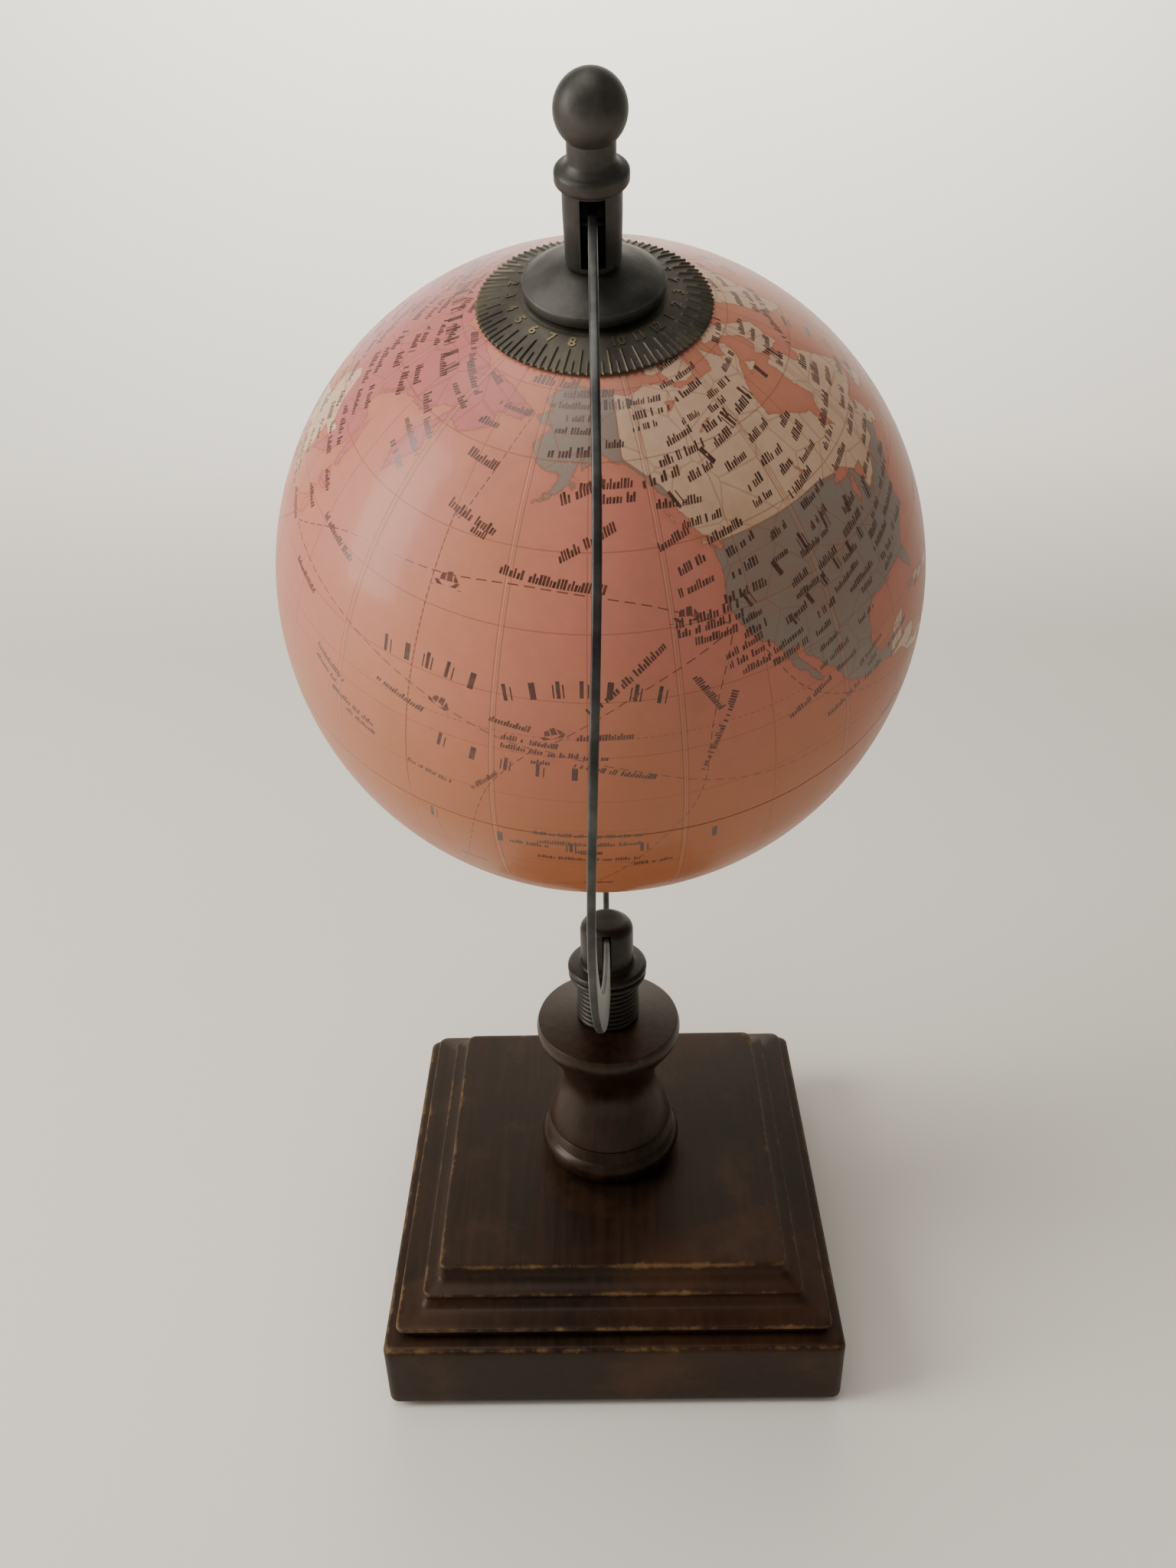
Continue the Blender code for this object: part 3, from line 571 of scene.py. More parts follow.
def makeSocket(settings):
    # The barrel's rings are a wave down its side: r - depth * (1 - |sin(rings * pi * t)|^0.6).
    low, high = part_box("arm_socket")
    collar, barrel, stub = high.x, settings["barrel"], settings["stub"]
    collarLow, collarHigh = (low.z + height for height in settings["collar"])
    t = np.linspace(0, 1, settings["rings"] * 8 + 1)
    wave = barrel - settings["ringDepth"] * (1 - np.abs(np.sin(settings["rings"] * np.pi * t)) ** 0.6)
    rings = np.stack((wave, collarLow - t * (collarLow - low.z)), 1)
    profile = np.vstack((
        [[0, high.z], [0.0025, high.z]],
        arcLine((stub - 0.003, high.z - 0.003), 0.003, 90, 0, 10),
        [[stub, collarHigh + 0.0012]],
        arcLine((stub + 0.0010, collarHigh + 0.0010), 0.0010, 180, 265, 5),
        arcLine((collar - 0.0012, collarHigh - 0.0012), 0.0012, 84, -70, 12),
        [[collar - 0.0013, collarHigh - 0.0026]],
        arcLine((collar - 0.0011, collarLow + 0.0009), 0.0009, 80, -86, 10),
        rings[1:],
        [[barrel - 0.001, low.z], [0, low.z]],
    ))
    piece = turnedPiece("socketCasting", profile, uprightFrame, socketBronze, "arm_socket", settings["steps"])
    cutWith(piece, *settings["slot"], uprightFrame)


finialSettings = {
    "ball": 0.0065,
    "centre": 0.10836,  # heights along the axis, from the globe's centre
    "neck": 0.0044,
    "flange": 0.0068,
    "flangeHeights": (0.09566, 0.09866),
    "stem": 0.0055,
    "foot": 0.08076,
    "slot": ((-0.0023, -0.03, 0.08196), (0.0023, 0.0045, 0.09506)),  # closed at the back
    "steps": 128,
}


def makeFinial(settings):
    # A ball on a short neck, a flange with a round edge, and a stem with a slot for the arm's end.
    ball, centre, neck, flange, stem, base = (
        settings[key] for key in ("ball", "centre", "neck", "flange", "stem", "foot"))
    top, flangeTop = settings["flangeHeights"]
    neckAngle = math.degrees(math.asin(neck / ball)) - 90
    profile = np.vstack((
        arcLine((0, centre), ball, 90, neckAngle, 26),
        smoothLine([(neck, flangeTop + 0.0020), (neck + 0.0001, flangeTop + 0.0011),
                    (neck + 0.0009, flangeTop + 0.0002)], 4),
        arcLine((flange - 0.0009, flangeTop - 0.0009), 0.0009, 84, 5, 6),
        arcLine((flange - 0.0009, top + 0.0009), 0.0009, -5, -84, 6),
        arcLine((stem + 0.0006, top - 0.0006), 0.0006, 95, 180, 4),
        [[stem, top - 0.005], [stem - 0.0002, base + 0.0008], [stem - 0.0006, base], [0.002, base], [0, base]],
    ))
    profile[0, 0] = 0.0
    piece = turnedPiece("finialCasting", profile, axisFrame, bronze, "finial", settings["steps"])
    cutWith(piece, *settings["slot"], axisFrame)


southStemSettings = {
    "radius": 0.0055,
    "heights": (-0.1138, -0.0779),
    "slot": ((-0.0023, -0.03, -0.1126), (0.0023, 0.0045, -0.1032)),
    "steps": 128,
}


def makeSouthStem(settings):
    # A rod with a flat top, a round lower end, and a slot like the finial's.
    stem, (end, top) = settings["radius"], settings["heights"]
    profile = np.vstack((
        [[0, top], [0.003, top]],
        arcLine((stem - 0.001, top - 0.001), 0.001, 90, 0, 5),
        [[stem, top - 0.010], [stem, top - 0.025]],
        arcLine((stem - 0.002, end + 0.002), 0.002, 0, -90, 8),
        [[0.001, end], [0, end]],
    ))
    piece = turnedPiece("southStemCasting", profile, axisFrame, bronze, "south_stem", settings["steps"])
    cutWith(piece, *settings["slot"], axisFrame)


capSettings = {
    "rim": 0.0137,
    "base": 0.07506,
    "shoulder": 0.07736,
    "crown": 0.08046,
    "hole": 0.0019,
    "inside": 0.0763,  # radius of the sphere under it
    "steps": 128,
}


def makeCap(settings):
    # An upright rim, a shallow dome rising to the stem, and an underside that follows the dial's sphere.
    rim, base, shoulder, crown, hole, inside = (
        settings[key] for key in ("rim", "base", "shoulder", "crown", "hole", "inside"))
    dome = smoothLine([(0.0045, crown), (0.0062, crown - 0.0003), (0.0088, shoulder + 0.0019),
                       (0.0114, shoulder + 0.0010), (rim - 0.0004, shoulder)], 8)
    angles = [math.degrees(math.acos(r / inside)) for r in (rim - 0.0004, hole)]
    profile = np.vstack((
        [[hole, crown]], dome,
        arcLine((rim - 0.0004, shoulder - 0.0004), 0.0004, 70, 0, 5),
        [[rim, base + 0.0005]],
        arcLine((0, 0), inside, *angles, 8),
    ))
    turnedPiece("capCasting", profile, axisFrame, bronze, "dome_cap", settings["steps"], True)


armSettings = {
    "standoff": 0.023,  # from the globe's radius to the middle of the strip
    "width": 0.00876,
    "thickness": 0.0017,
    "edge": 0.0005,
    "corner": 0.0032,  # radius of the rounding at its ends
    "tongue": 0.0042,  # how far it runs past the axle
    "bow": 0.0027,
    "bowFrom": 30,  # degrees from the north end
    "low": 0.1156,  # height of its lowest part
    "stations": 300,
}


def makeArm(settings):
    # A rounded strip swept round the axle: centre + (radius + side) * (-sin, cos) of tilt + angle, pushed to -X by
    # bow * sin^2 of the way along its free length. Its ends narrow on a quarter circle.
    tilt = math.acos(north[2])
    radius = globeRadius + settings["standoff"]
    below = globeCentre[2] - settings["low"]
    shift = below * math.cos(tilt) - math.sqrt(radius**2 - (below * math.sin(tilt)) ** 2)
    reach = settings["tongue"] / radius
    angle = np.linspace(-reach, math.pi + reach, settings["stations"])
    corner, half = settings["corner"], settings["width"] / 2
    endSteps = 1 - np.cos(np.linspace(0, np.pi / 2, 9)[:-1])
    near = -reach + endSteps * corner / radius
    angle = np.concatenate((near, angle[(angle > near[-1]) & (angle < math.pi - near[-1])], (math.pi - near)[::-1]))
    fromEnd = np.minimum(angle + reach, math.pi + reach - angle) * radius
    inset = np.clip(1 - fromEnd / corner, 0, 1)
    halfWidth = half - corner * (1 - np.sqrt(1 - inset**2))
    edge, thick = settings["edge"], settings["thickness"] / 2
    turn = np.radians(np.linspace(0, 90, 5))
    quarter = np.stack((thick - edge + edge * np.cos(turn), half - edge + edge * np.sin(turn)), 1)
    section = np.vstack((quarter, quarter[::-1] * (-1, 1), quarter * (-1, -1), quarter[::-1] * (1, -1)))
    start, end = math.radians(settings["bowFrom"]), math.pi - tilt - 2 * socketSettings["stub"] / radius
    bow = -settings["bow"] * np.sin(np.pi * np.clip((angle - start) / (end - start), 0, 1)) ** 2
    side = section[None, :, 1] * (halfWidth / half)[:, None]
    around = (tilt + angle)[:, None]
    y = globeCentre[1] + shift * math.sin(tilt) - (radius + side) * np.sin(around)
    z = globeCentre[2] - shift * math.cos(tilt) + (radius + side) * np.cos(around)
    points = np.stack((bow[:, None] + section[None, :, 0] + 0 * y, y, z), -1)
    first, last = points[:1].mean(1, keepdims=True), points[-1:].mean(1, keepdims=True)
    points = np.concatenate((first + 0 * points[:1], points, last + 0 * points[-1:]))
    faces = gridFaces(*points.shape[:2], closeCols=True)[:, ::-1]
    piece = makePiece("armStrip", points, faces, armMetal, "stand")
    piece.data.set_sharp_from_angle(angle=math.radians(50))
    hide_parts("meridian_arm")


makeSocket(socketSettings)
makeFinial(finialSettings)
makeSouthStem(southStemSettings)
makeCap(capSettings)
makeArm(armSettings)
print("metal made")

# dial

dialSettings = {
    "outside": 0.0760,  # radius of the sphere that the raised marks reach
    "inside": 0.0753,
    "hole": 0.0043,
    "radius": 0.0231,
    "teeth": 96,
    "toothDepth": 0.0007,
    "toothReach": 0.0016,
    "columns": 1152,
    "shortTick": (0.0203, 0.0229),
    "longTick": (0.0178, 0.0229),
    "groove": (0.0139, 0.0143),
    "bandEdge": 0.0003,
    "relief": 0.00030,
    "numeralRadius": 0.0162,
    "numeralHeight": 0.0029,
}


def makeDial(settings):
    # The plate's height is sqrt(outside^2 - r^2) plus the relief: narrow ridges near the rim at every quarter of an
    # hour, longer ones at every half hour, and a groove inside the numerals.
    cols, rim = settings["columns"], settings["radius"]
    angle = np.arange(cols) * 2 * np.pi / cols
    r = np.concatenate(([settings["hole"], 0.009, 0.0128], np.linspace(settings["groove"][0], rim, 34)))[:, None]
    tooth = settings["toothDepth"] * (0.5 - 0.5 * np.cos(settings["teeth"] * angle)) ** 0.7
    notch = np.clip((r - (rim - settings["toothReach"])) / settings["toothReach"], 0, 1)
    radius = r - tooth * notch**2
    ridge = np.clip(np.cos(settings["teeth"] * angle), 0, 1) ** 9
    long = np.clip(np.cos(settings["teeth"] / 2 * angle), 0, 1) ** 24

    def band(low, high):
        soft = settings["bandEdge"]
        return np.clip((r - low) / soft + 0.5, 0, 1) * np.clip((high - r) / soft + 0.5, 0, 1)

    relief = band(*settings["shortTick"]) * ridge * 0.9 + band(*settings["longTick"]) * long
    relief = np.clip(relief, 0, 1) - 0.35 * band(*settings["groove"]) * np.ones(cols)
    top = np.sqrt(settings["outside"] ** 2 - radius**2) - settings["relief"] + settings["relief"] * relief
    underRadius = np.array([rim - 0.0004, settings["hole"]])[:, None] + 0 * angle
    under = np.sqrt(settings["inside"] ** 2 - underRadius**2)
    allRadius, height = np.vstack((radius, underRadius)), np.vstack((top, under))
    points = inFrame(axisFrame, allRadius * np.cos(angle), allRadius * np.sin(angle), height)
    faces = gridFaces(*points.shape[:2], closeRows=True, closeCols=True)
    plate = makePiece("dialPlate", points, faces, dialBronze, "dial", seal=False)
    storeField(plate, "raised", np.vstack((np.clip(relief, 0, 1) + 0.5 * (r > rim - 0.0003), 0 * under)))
    plate.data.set_sharp_from_angle(angle=math.radians(55))
    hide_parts("hour_dial")


def makeNumerals(settings):
    # Each numeral's flat (x, y) is bent on to the dial: angle a0 + x / R, radius R - y, height sqrt(s^2 - r^2) + z.
    # The 24 hours are numbered 1 to 12 twice.
    points, faces, count = [], [], 0
    for hour in range(24):
        text = bpy.data.curves.new("numeral", "FONT")
        text.body = str((hour + 8) % 12 + 1)
        text.size, text.extrude = settings["numeralHeight"], 0.00010
        text.align_x, text.align_y = "CENTER", "CENTER"
        text.resolution_u = 3
        text.offset = 0.00007
        lettering = addObject("numeral", text)
        bpy.context.view_layer.update()
        flat = bpy.data.meshes.new_from_object(lettering.evaluated_get(bpy.context.evaluated_depsgraph_get()))
        x, y, z = readPlaces(flat).T
        around = math.radians(15 * hour) + x / settings["numeralRadius"]
        r = settings["numeralRadius"] - y
        height = np.sqrt(settings["outside"] ** 2 - r**2) - settings["relief"] + z + 0.00006
        points.append(inFrame(axisFrame, r * np.sin(around), -r * np.cos(around), height))
        faces += [tuple(index + count for index in face.vertices) for face in flat.polygons]
        count += len(flat.vertices)
        bpy.data.objects.remove(lettering)
        bpy.data.curves.remove(text)
        bpy.data.meshes.remove(flat)
    makePiece("dialNumerals", np.vstack(points), faces, dialBrass, "dial", seal=False, smooth=False)


makeDial(dialSettings)
makeNumerals(dialSettings)
print("dial made")

# globe

globeSettings = {
    "skin": 0.07492,
    "inside": 0.0736,
    "hole": 0.0043,
    "seam": 0.00008,
    "columns": 640,
    "rows": 138,
    "reach": 4.0,  # how far, in degrees, the map's fields are measured from an outline
    "frontMeridian": -147.8,
    "stretch": 4.2,  # the print runs this many degrees high in the middle of the north
}

# Outlines as (latitude, longitude), east positive and never stepping across more than half the globe.
americas = [
    (69.6, -141), (70.1, -144), (70.5, -150), (71.3, -156.6), (70.3, -161.5), (68.3, -166.8), (67.1, -163.6),
    (66.2, -161.8), (66.6, -164.5), (65.6, -168.1), (64.5, -165.4), (64.6, -161.2), (63, -164.6), (61.5, -166.1),
    (60, -165.1), (58.7, -162.1), (58.8, -157.2), (57, -158.5), (55.1, -163.2), (55.9, -159), (57.6, -155),
    (59.2, -153.6), (60.9, -151.5), (59.2, -151.9), (60, -148.6), (60.9, -146.8), (60.1, -144.3), (59.7, -140.2),
    (58.3, -136.8), (56.5, -134), (55, -131), (54.3, -130.4), (52.5, -128.2), (51, -127.5), (49, -123),
    (47.8, -122.5), (48.4, -124.7), (46.3, -124), (43, -124.5), (40.4, -124.4), (38, -122.9), (36.6, -121.9),
    (34.5, -120.5), (33.7, -118.3), (32.5, -117.1), (30, -115.8), (27.8, -115), (26, -112.3), (24.5, -112),
    (22.9, -109.9), (24.2, -110.3), (26.5, -111.5), (29.5, -114), (31.7, -114.8), (31.2, -113), (28.8, -111.9),
    (27, -109.9), (25.5, -109.2), (23.2, -106.5), (20.5, -105.5), (19, -104.3), (17, -100.5), (15.8, -96.5),
    (16.2, -94.8), (14.5, -92.2), (13.3, -88.5), (12.5, -87.6), (10, -85.8), (8.4, -83.2), (7.3, -81), (8.9, -79.5),
    (7.2, -78), (4, -77.4), (1.5, -79), (-2.2, -80.8), (-4.8, -81.3), (-6.5, -80.5), (-12, -77.2), (-16, -74),
    (-18.4, -70.4), (-24, -70.5), (-30, -71.4), (-37, -73.4), (-42, -74), (-47, -75.5), (-52.5, -74.8),
    (-55.2, -69.5), (-54.8, -66), (-52.3, -68.5), (-50, -68), (-47, -66), (-43, -64.8), (-41, -63.2),
    (-38.8, -61.5), (-38, -57.6), (-35, -57.2), (-34.8, -54.8), (-32, -52.2), (-28.5, -48.8), (-25, -48.2),
    (-23, -43.5), (-20.5, -40.3), (-15, -39), (-10.5, -36.5), (-7.2, -34.8), (-5.2, -35.5), (-3, -39.5),
    (-2.5, -44), (0, -49.5), (2, -50.2), (5, -52.5), (6, -57), (8.5, -60.5), (10.6, -62), (10.5, -66.5),
    (12, -71.3), (11.2, -74.3), (9.5, -76), (8, -77), (9.5, -79.5), (9, -82), (11, -83.7), (15, -83.3),
    (15.9, -86), (15.8, -88.5), (18.5, -88), (21.4, -87), (21, -90.3), (18.6, -91.8), (18.2, -94.5), (19.5, -96.3),
    (22.3, -97.8), (25.9, -97.2), (28, -97), (29.5, -94.7), (29.3, -91), (29, -89.3), (30.3, -88.5), (30.2, -85.8),
    (29.8, -84), (28, -82.8), (25.3, -81), (25.3, -80.4), (27, -80.1), (30.5, -81.4), (32, -80.9), (33.9, -78),
    (35.2, -75.6), (37, -76), (38.9, -75.1), (40.6, -74), (41.4, -71.4), (42, -70.2), (43.7, -70), (44.8, -67),
    (45.2, -65.5), (43.6, -65.6), (45.5, -61.2), (46, -64.5), (48, -65), (49.2, -64.8), (48.3, -69), (50.2, -66),
    (50.3, -60), (52, -55.7), (55, -59), (58.5, -62.8), (60.4, -64.6), (58.8, -66), (58.8, -69), (61, -70),
    (62.4, -74), (62.3, -78), (58.6, -78.5), (56, -76.8), (54.5, -79.6), (51.5, -79.2), (52.8, -81.8),
    (55.2, -82.5), (56.9, -88.5), (58.8, -94.3), (61.5, -93.8), (63.8, -91), (65.5, -87), (67.3, -83),
    (69.5, -82.3), (69.8, -85.5), (68, -88), (69, -90.5), (71.8, -94.8), (69.5, -96), (67.9, -98), (68, -105),
    (67.8, -109), (68, -115), (69.3, -118), (69.8, -124), (70.5, -128), (69.6, -131), (69, -136),
]
oldWorld = [
    (66, 190.3), (64.4, 187.8), (64.6, 178.5), (62.3, 179.2), (60, 170.3), (60.8, 166), (59.8, 163.2), (58, 162),
    (56.2, 163.3), (54, 160), (51, 156.8), (54, 155.6), (57, 156.7), (60, 161.5), (62.3, 164.5), (61.5, 160),
    (59.4, 154.5), (59.4, 150.5), (59.2, 145), (56.5, 138.5), (54.3, 136), (53.5, 140.8), (52, 141.3), (48.5, 140.2),
    (45, 136.6), (43, 132.2), (41.5, 129.7), (39.3, 127.5), (36.5, 129.5), (35.1, 129), (34.5, 126.4), (37, 126.6),
    (38.6, 125), (39.8, 124.3), (39, 121.3), (40.8, 121), (39.2, 118), (37.7, 118.9), (37.4, 122.5), (35.5, 119.6),
    (32.5, 121), (31, 121.9), (28.5, 121.6), (25.5, 119.5), (22.8, 115.5), (21.6, 111.5), (20.5, 110.2),
    (21.7, 108.5), (19.5, 105.8), (16.5, 107.8), (12.5, 109.3), (10.5, 107), (8.7, 104.9), (10.5, 103.5),
    (12.7, 101), (13.4, 100.4), (9.3, 99.4), (6.5, 101.5), (1.4, 104), (5, 100.4), (8, 98.3), (13.5, 98.2),
    (16.5, 97), (16, 94.4), (20, 93), (22.3, 91.3), (21.5, 88), (19.7, 85.5), (16.3, 81.5), (13, 80.3), (10, 79.8),
    (8.1, 77.5), (12, 75), (16, 73.5), (19, 72.8), (21, 72.3), (22.3, 69), (24.7, 66.8), (25.4, 61.5), (27, 56.8),
    (27.5, 52.5), (30.2, 48.8), (28, 48.6), (25.3, 51.5), (24.2, 53.5), (26.2, 56.3), (23.6, 58.6), (20, 57.8),
    (17, 54.5), (14, 49), (12.7, 45), (16, 42.8), (21.5, 39.1), (28, 34.8), (29.9, 32.6), (27.5, 33.8), (22, 36.8),
    (18, 38.5), (12.5, 43.2), (11.8, 51.2), (5, 48.5), (0, 42.8), (-5, 39.2), (-10.5, 40.5), (-15.5, 40.5),
    (-20, 35), (-25.5, 32.9), (-29.5, 31.3), (-34, 26), (-34.8, 20), (-32.5, 18.2), (-26.5, 15.2), (-17.5, 11.8),
    (-10, 13.2), (-4.8, 11.8), (0.5, 9.4), (4, 9.4), (4.4, 6.5), (6.4, 2.8), (4.8, -2), (4.4, -7.8), (8.5, -13.3),
    (12.5, -16.8), (14.8, -17.4), (20.9, -17.1), (27.8, -13), (31.5, -9.8), (35.8, -6), (35.2, -2.5), (36.8, 3),
    (37.2, 10), (34, 10.2), (32.5, 14.5), (30.3, 19), (32.8, 22), (31.2, 29), (31.4, 32.5), (31.3, 34.2), (36.2, 36),
    (36.2, 33), (36.8, 30.6), (36.8, 28), (39.5, 26.2), (40.8, 29), (40.8, 26), (40.6, 23), (37.8, 24), (36.5, 22.7),
    (38.8, 20.8), (41.8, 19.5), (45.3, 13.8), (44.3, 12.4), (41.9, 16), (40, 18.4), (38, 15.8), (40.8, 14),
    (42.5, 11), (44.4, 9), (43.2, 5), (41.3, 2.2), (38.8, 0.2), (36.8, -2.2), (36, -5.6), (37, -8.9), (38.7, -9.4),
    (43.1, -9.2), (43.4, -2), (46, -1.2), (48.4, -4.7), (49.6, -1.5), (51, 2), (53.4, 6.5), (57.2, 9.5), (54.4, 11),
    (54.4, 18.8), (57.5, 22), (59.4, 24.8), (60, 29.8), (60.3, 22.5), (65.7, 24.5), (62, 17.5), (58.5, 16.8),
    (55.5, 14), (58, 11.5), (59, 10.6), (58, 7.3), (61.5, 5), (65, 11.5), (69.5, 17.5), (71, 26), (69.5, 32),
    (67, 41), (64.7, 37), (65, 40.5), (68, 44), (68.5, 54), (69.5, 60.5), (69, 67), (72.8, 69), (68.5, 73.5),
    (72.5, 75.5), (72, 80.5), (73.5, 86), (76, 98), (77.7, 104.3), (73.8, 110), (73.5, 118), (72.8, 127),
    (70.8, 131.5), (72.2, 140), (72, 150), (70.9, 159.5), (69.6, 163), (69.8, 170), (68.9, 178), (67.5, 185),
]
islands = [
    [(69.2, -105), (68.6, -110), (69, -116.5), (71, -118), (73, -114), (73.3, -106), (71, -104.5)],
    [(71.2, -123), (72, -125.5), (74.2, -122), (73, -116.5), (71.3, -120)],
    [(61.9, -66), (64, -64.9), (66.6, -61.5), (69, -67.5), (71, -71.5), (73.4, -79.5), (73.5, -85.5), (71.5, -89.5),
     (70, -80), (69.8, -78), (67.5, -73), (65.4, -73.8), (64.3, -78), (62.8, -71)],
    [(60, -43.5), (61.5, -49), (65, -53), (69, -53.5), (72, -55.5), (76, -66), (78.5, -72), (81, -62), (83.4, -35),
     (81.5, -14), (77, -19), (72, -23), (70, -25), (66, -37), (63, -41.5)],
    [(63.5, -87), (63.8, -80.5), (65.5, -84.5)],
    [(41.4, 141), (39.6, 142), (36, 140.8), (34.7, 138.5), (33.6, 135.8), (34.4, 133), (34, 131), (35.4, 133),
     (36.8, 136.8), (38.8, 139.8), (41, 140.3)],
    [(42, 140.2), (42, 143.2), (43.4, 145.5), (45.4, 141.9), (43.2, 140.5)],
    [(33.9, 131), (34, 134), (33.2, 132), (31.2, 131.2), (31.3, 130.3), (33.2, 129.8)],
    [(54.3, 142.7), (50, 144), (46, 143.4), (46, 142), (51, 141.8)],
    [(25.2, 121.6), (22, 120.8), (23.8, 120.2)],
    [(18.5, 121.5), (14, 122.5), (12.8, 124), (13.8, 120.6), (16.5, 120)],
    [(9.5, 125.5), (6.5, 126.2), (5.8, 125.3), (7.5, 122.2)],
    [(11.5, 125), (10, 123), (10.3, 122)],
    [(7, 116.9), (5.2, 119), (1, 118.8), (-3.8, 116), (-3, 111.8), (1, 109), (2.5, 111.5), (5, 115)],
    [(5.5, 95.3), (4, 98.2), (0.5, 103), (-3, 106), (-5.8, 105.5), (-3, 101.5), (1.5, 98.5)],
    [(-6.1, 105.8), (-6.5, 110.8), (-7.8, 114.4), (-8.3, 112), (-7.6, 108)],
    [(1.5, 125), (0.5, 120.5), (-1, 121.5), (-5.3, 122.8), (-5.4, 119.8), (-1, 119.5), (1.2, 120.8)],
    [(-0.8, 131.3), (-3.2, 135), (-1.8, 137.5), (-3.5, 143.5), (-6.5, 147.5), (-10.3, 150.5), (-9, 147),
     (-7.8, 144.2), (-9.1, 141.2), (-8.2, 138), (-5.5, 138), (-4, 133.5)],
    [(-10.7, 142.5), (-14.5, 143.8), (-19, 146.5), (-22.5, 150.5), (-25, 153), (-28.5, 153.6), (-33.5, 151.5),
     (-37.5, 150), (-39, 146.5), (-38.3, 141.5), (-35.5, 138.5), (-33, 138), (-34.8, 136), (-32, 133.5),
     (-31.5, 129), (-33.8, 124), (-34.5, 119), (-35, 117.5), (-32, 115.8), (-27, 113.8), (-22.5, 113.8),
     (-20.5, 117), (-18, 122.2), (-14.5, 125.5), (-12.2, 131), (-12, 136.5), (-15, 135.8), (-17.5, 139.5),
     (-14, 141.6)],
    [(-40.7, 144.7), (-40.9, 148.2), (-43.5, 146.8)],
    [(-34.5, 172.8), (-37.5, 178.3), (-41.5, 175.3), (-39.3, 173.8)],
    [(-40.6, 172.8), (-42, 174), (-46.5, 169.8), (-46, 166.6), (-43.5, 169.5)],
    [(-12.2, 49.3), (-16, 50.2), (-24, 47.2), (-25.3, 45.2), (-20, 44.4), (-16, 44.5)],
    [(50.2, -5.4), (51, 1.3), (52.8, 1.6), (55, -1.5), (57.6, -2), (58.6, -3.2), (58.3, -5), (56, -5.8),
     (54.5, -3.4), (52.5, -4.2), (51.6, -4.5)],
    [(51.6, -9.8), (52.3, -6.4), (55.2, -6.3), (54.3, -9.8)],
    [(63.5, -19), (64.5, -14), (66.3, -16), (66, -22.5), (64, -22.3)],
    [(21.9, -84.8), (23.1, -82), (22.3, -78.5), (20.2, -74.3), (19.9, -77.5), (22.2, -81)],
    [(19.9, -73), (19, -68.8), (17.8, -71), (18.4, -74.3)],
    [(51.5, -55.6), (47, -53), (47.6, -59.2)],
    [(50.7, -128), (48.5, -123.7), (49.3, -126.3)],
    [(54, -133), (52.2, -131), (53.2, -131.8)],
    [(58, -152.3), (57, -154), (57.6, -154.6)],
    [(20.2, -155.9), (19.5, -154.9), (19, -155.7)],
    [(9.6, 80.1), (7.5, 81.8), (6, 80.5), (8, 79.8)],
    [(70.7, 53), (72, 52), (76.8, 67), (75.5, 60), (71.5, 56)],
]
waters = [
    [(46.7, -92), (48.6, -88.5), (46.6, -84.6), (46.5, -87.5)], [(46, -85.5), (43, -86.3), (41.7, -87.3), (45, -87.3)],
    [(46, -84), (46, -80.8), (43.2, -81.8), (44.5, -83.3)], [(42.9, -79), (41.5, -83), (42.5, -81.5)],
    [(53.8, -98.8), (50.5, -96.6), (52, -98.3)], [(62.5, -110), (61, -116.5), (62, -114.5)],
    [(66.5, -118.5), (65.2, -123), (66.8, -123)],
    [(47, 51), (45, 53), (41, 52.8), (36.8, 53.8), (37.5, 49.2), (40.5, 49.8), (44.5, 47)],
    [(46.3, 31), (46.8, 38), (45, 36.8), (43.5, 40), (41.2, 41.5), (41.3, 36), (41.2, 31), (41.3, 28.5), (43.5, 28.2)],
    [(55.5, 109.5), (51.7, 104.2), (53, 106.5)], [(46.5, 61), (44, 60), (45, 58.5)],
]
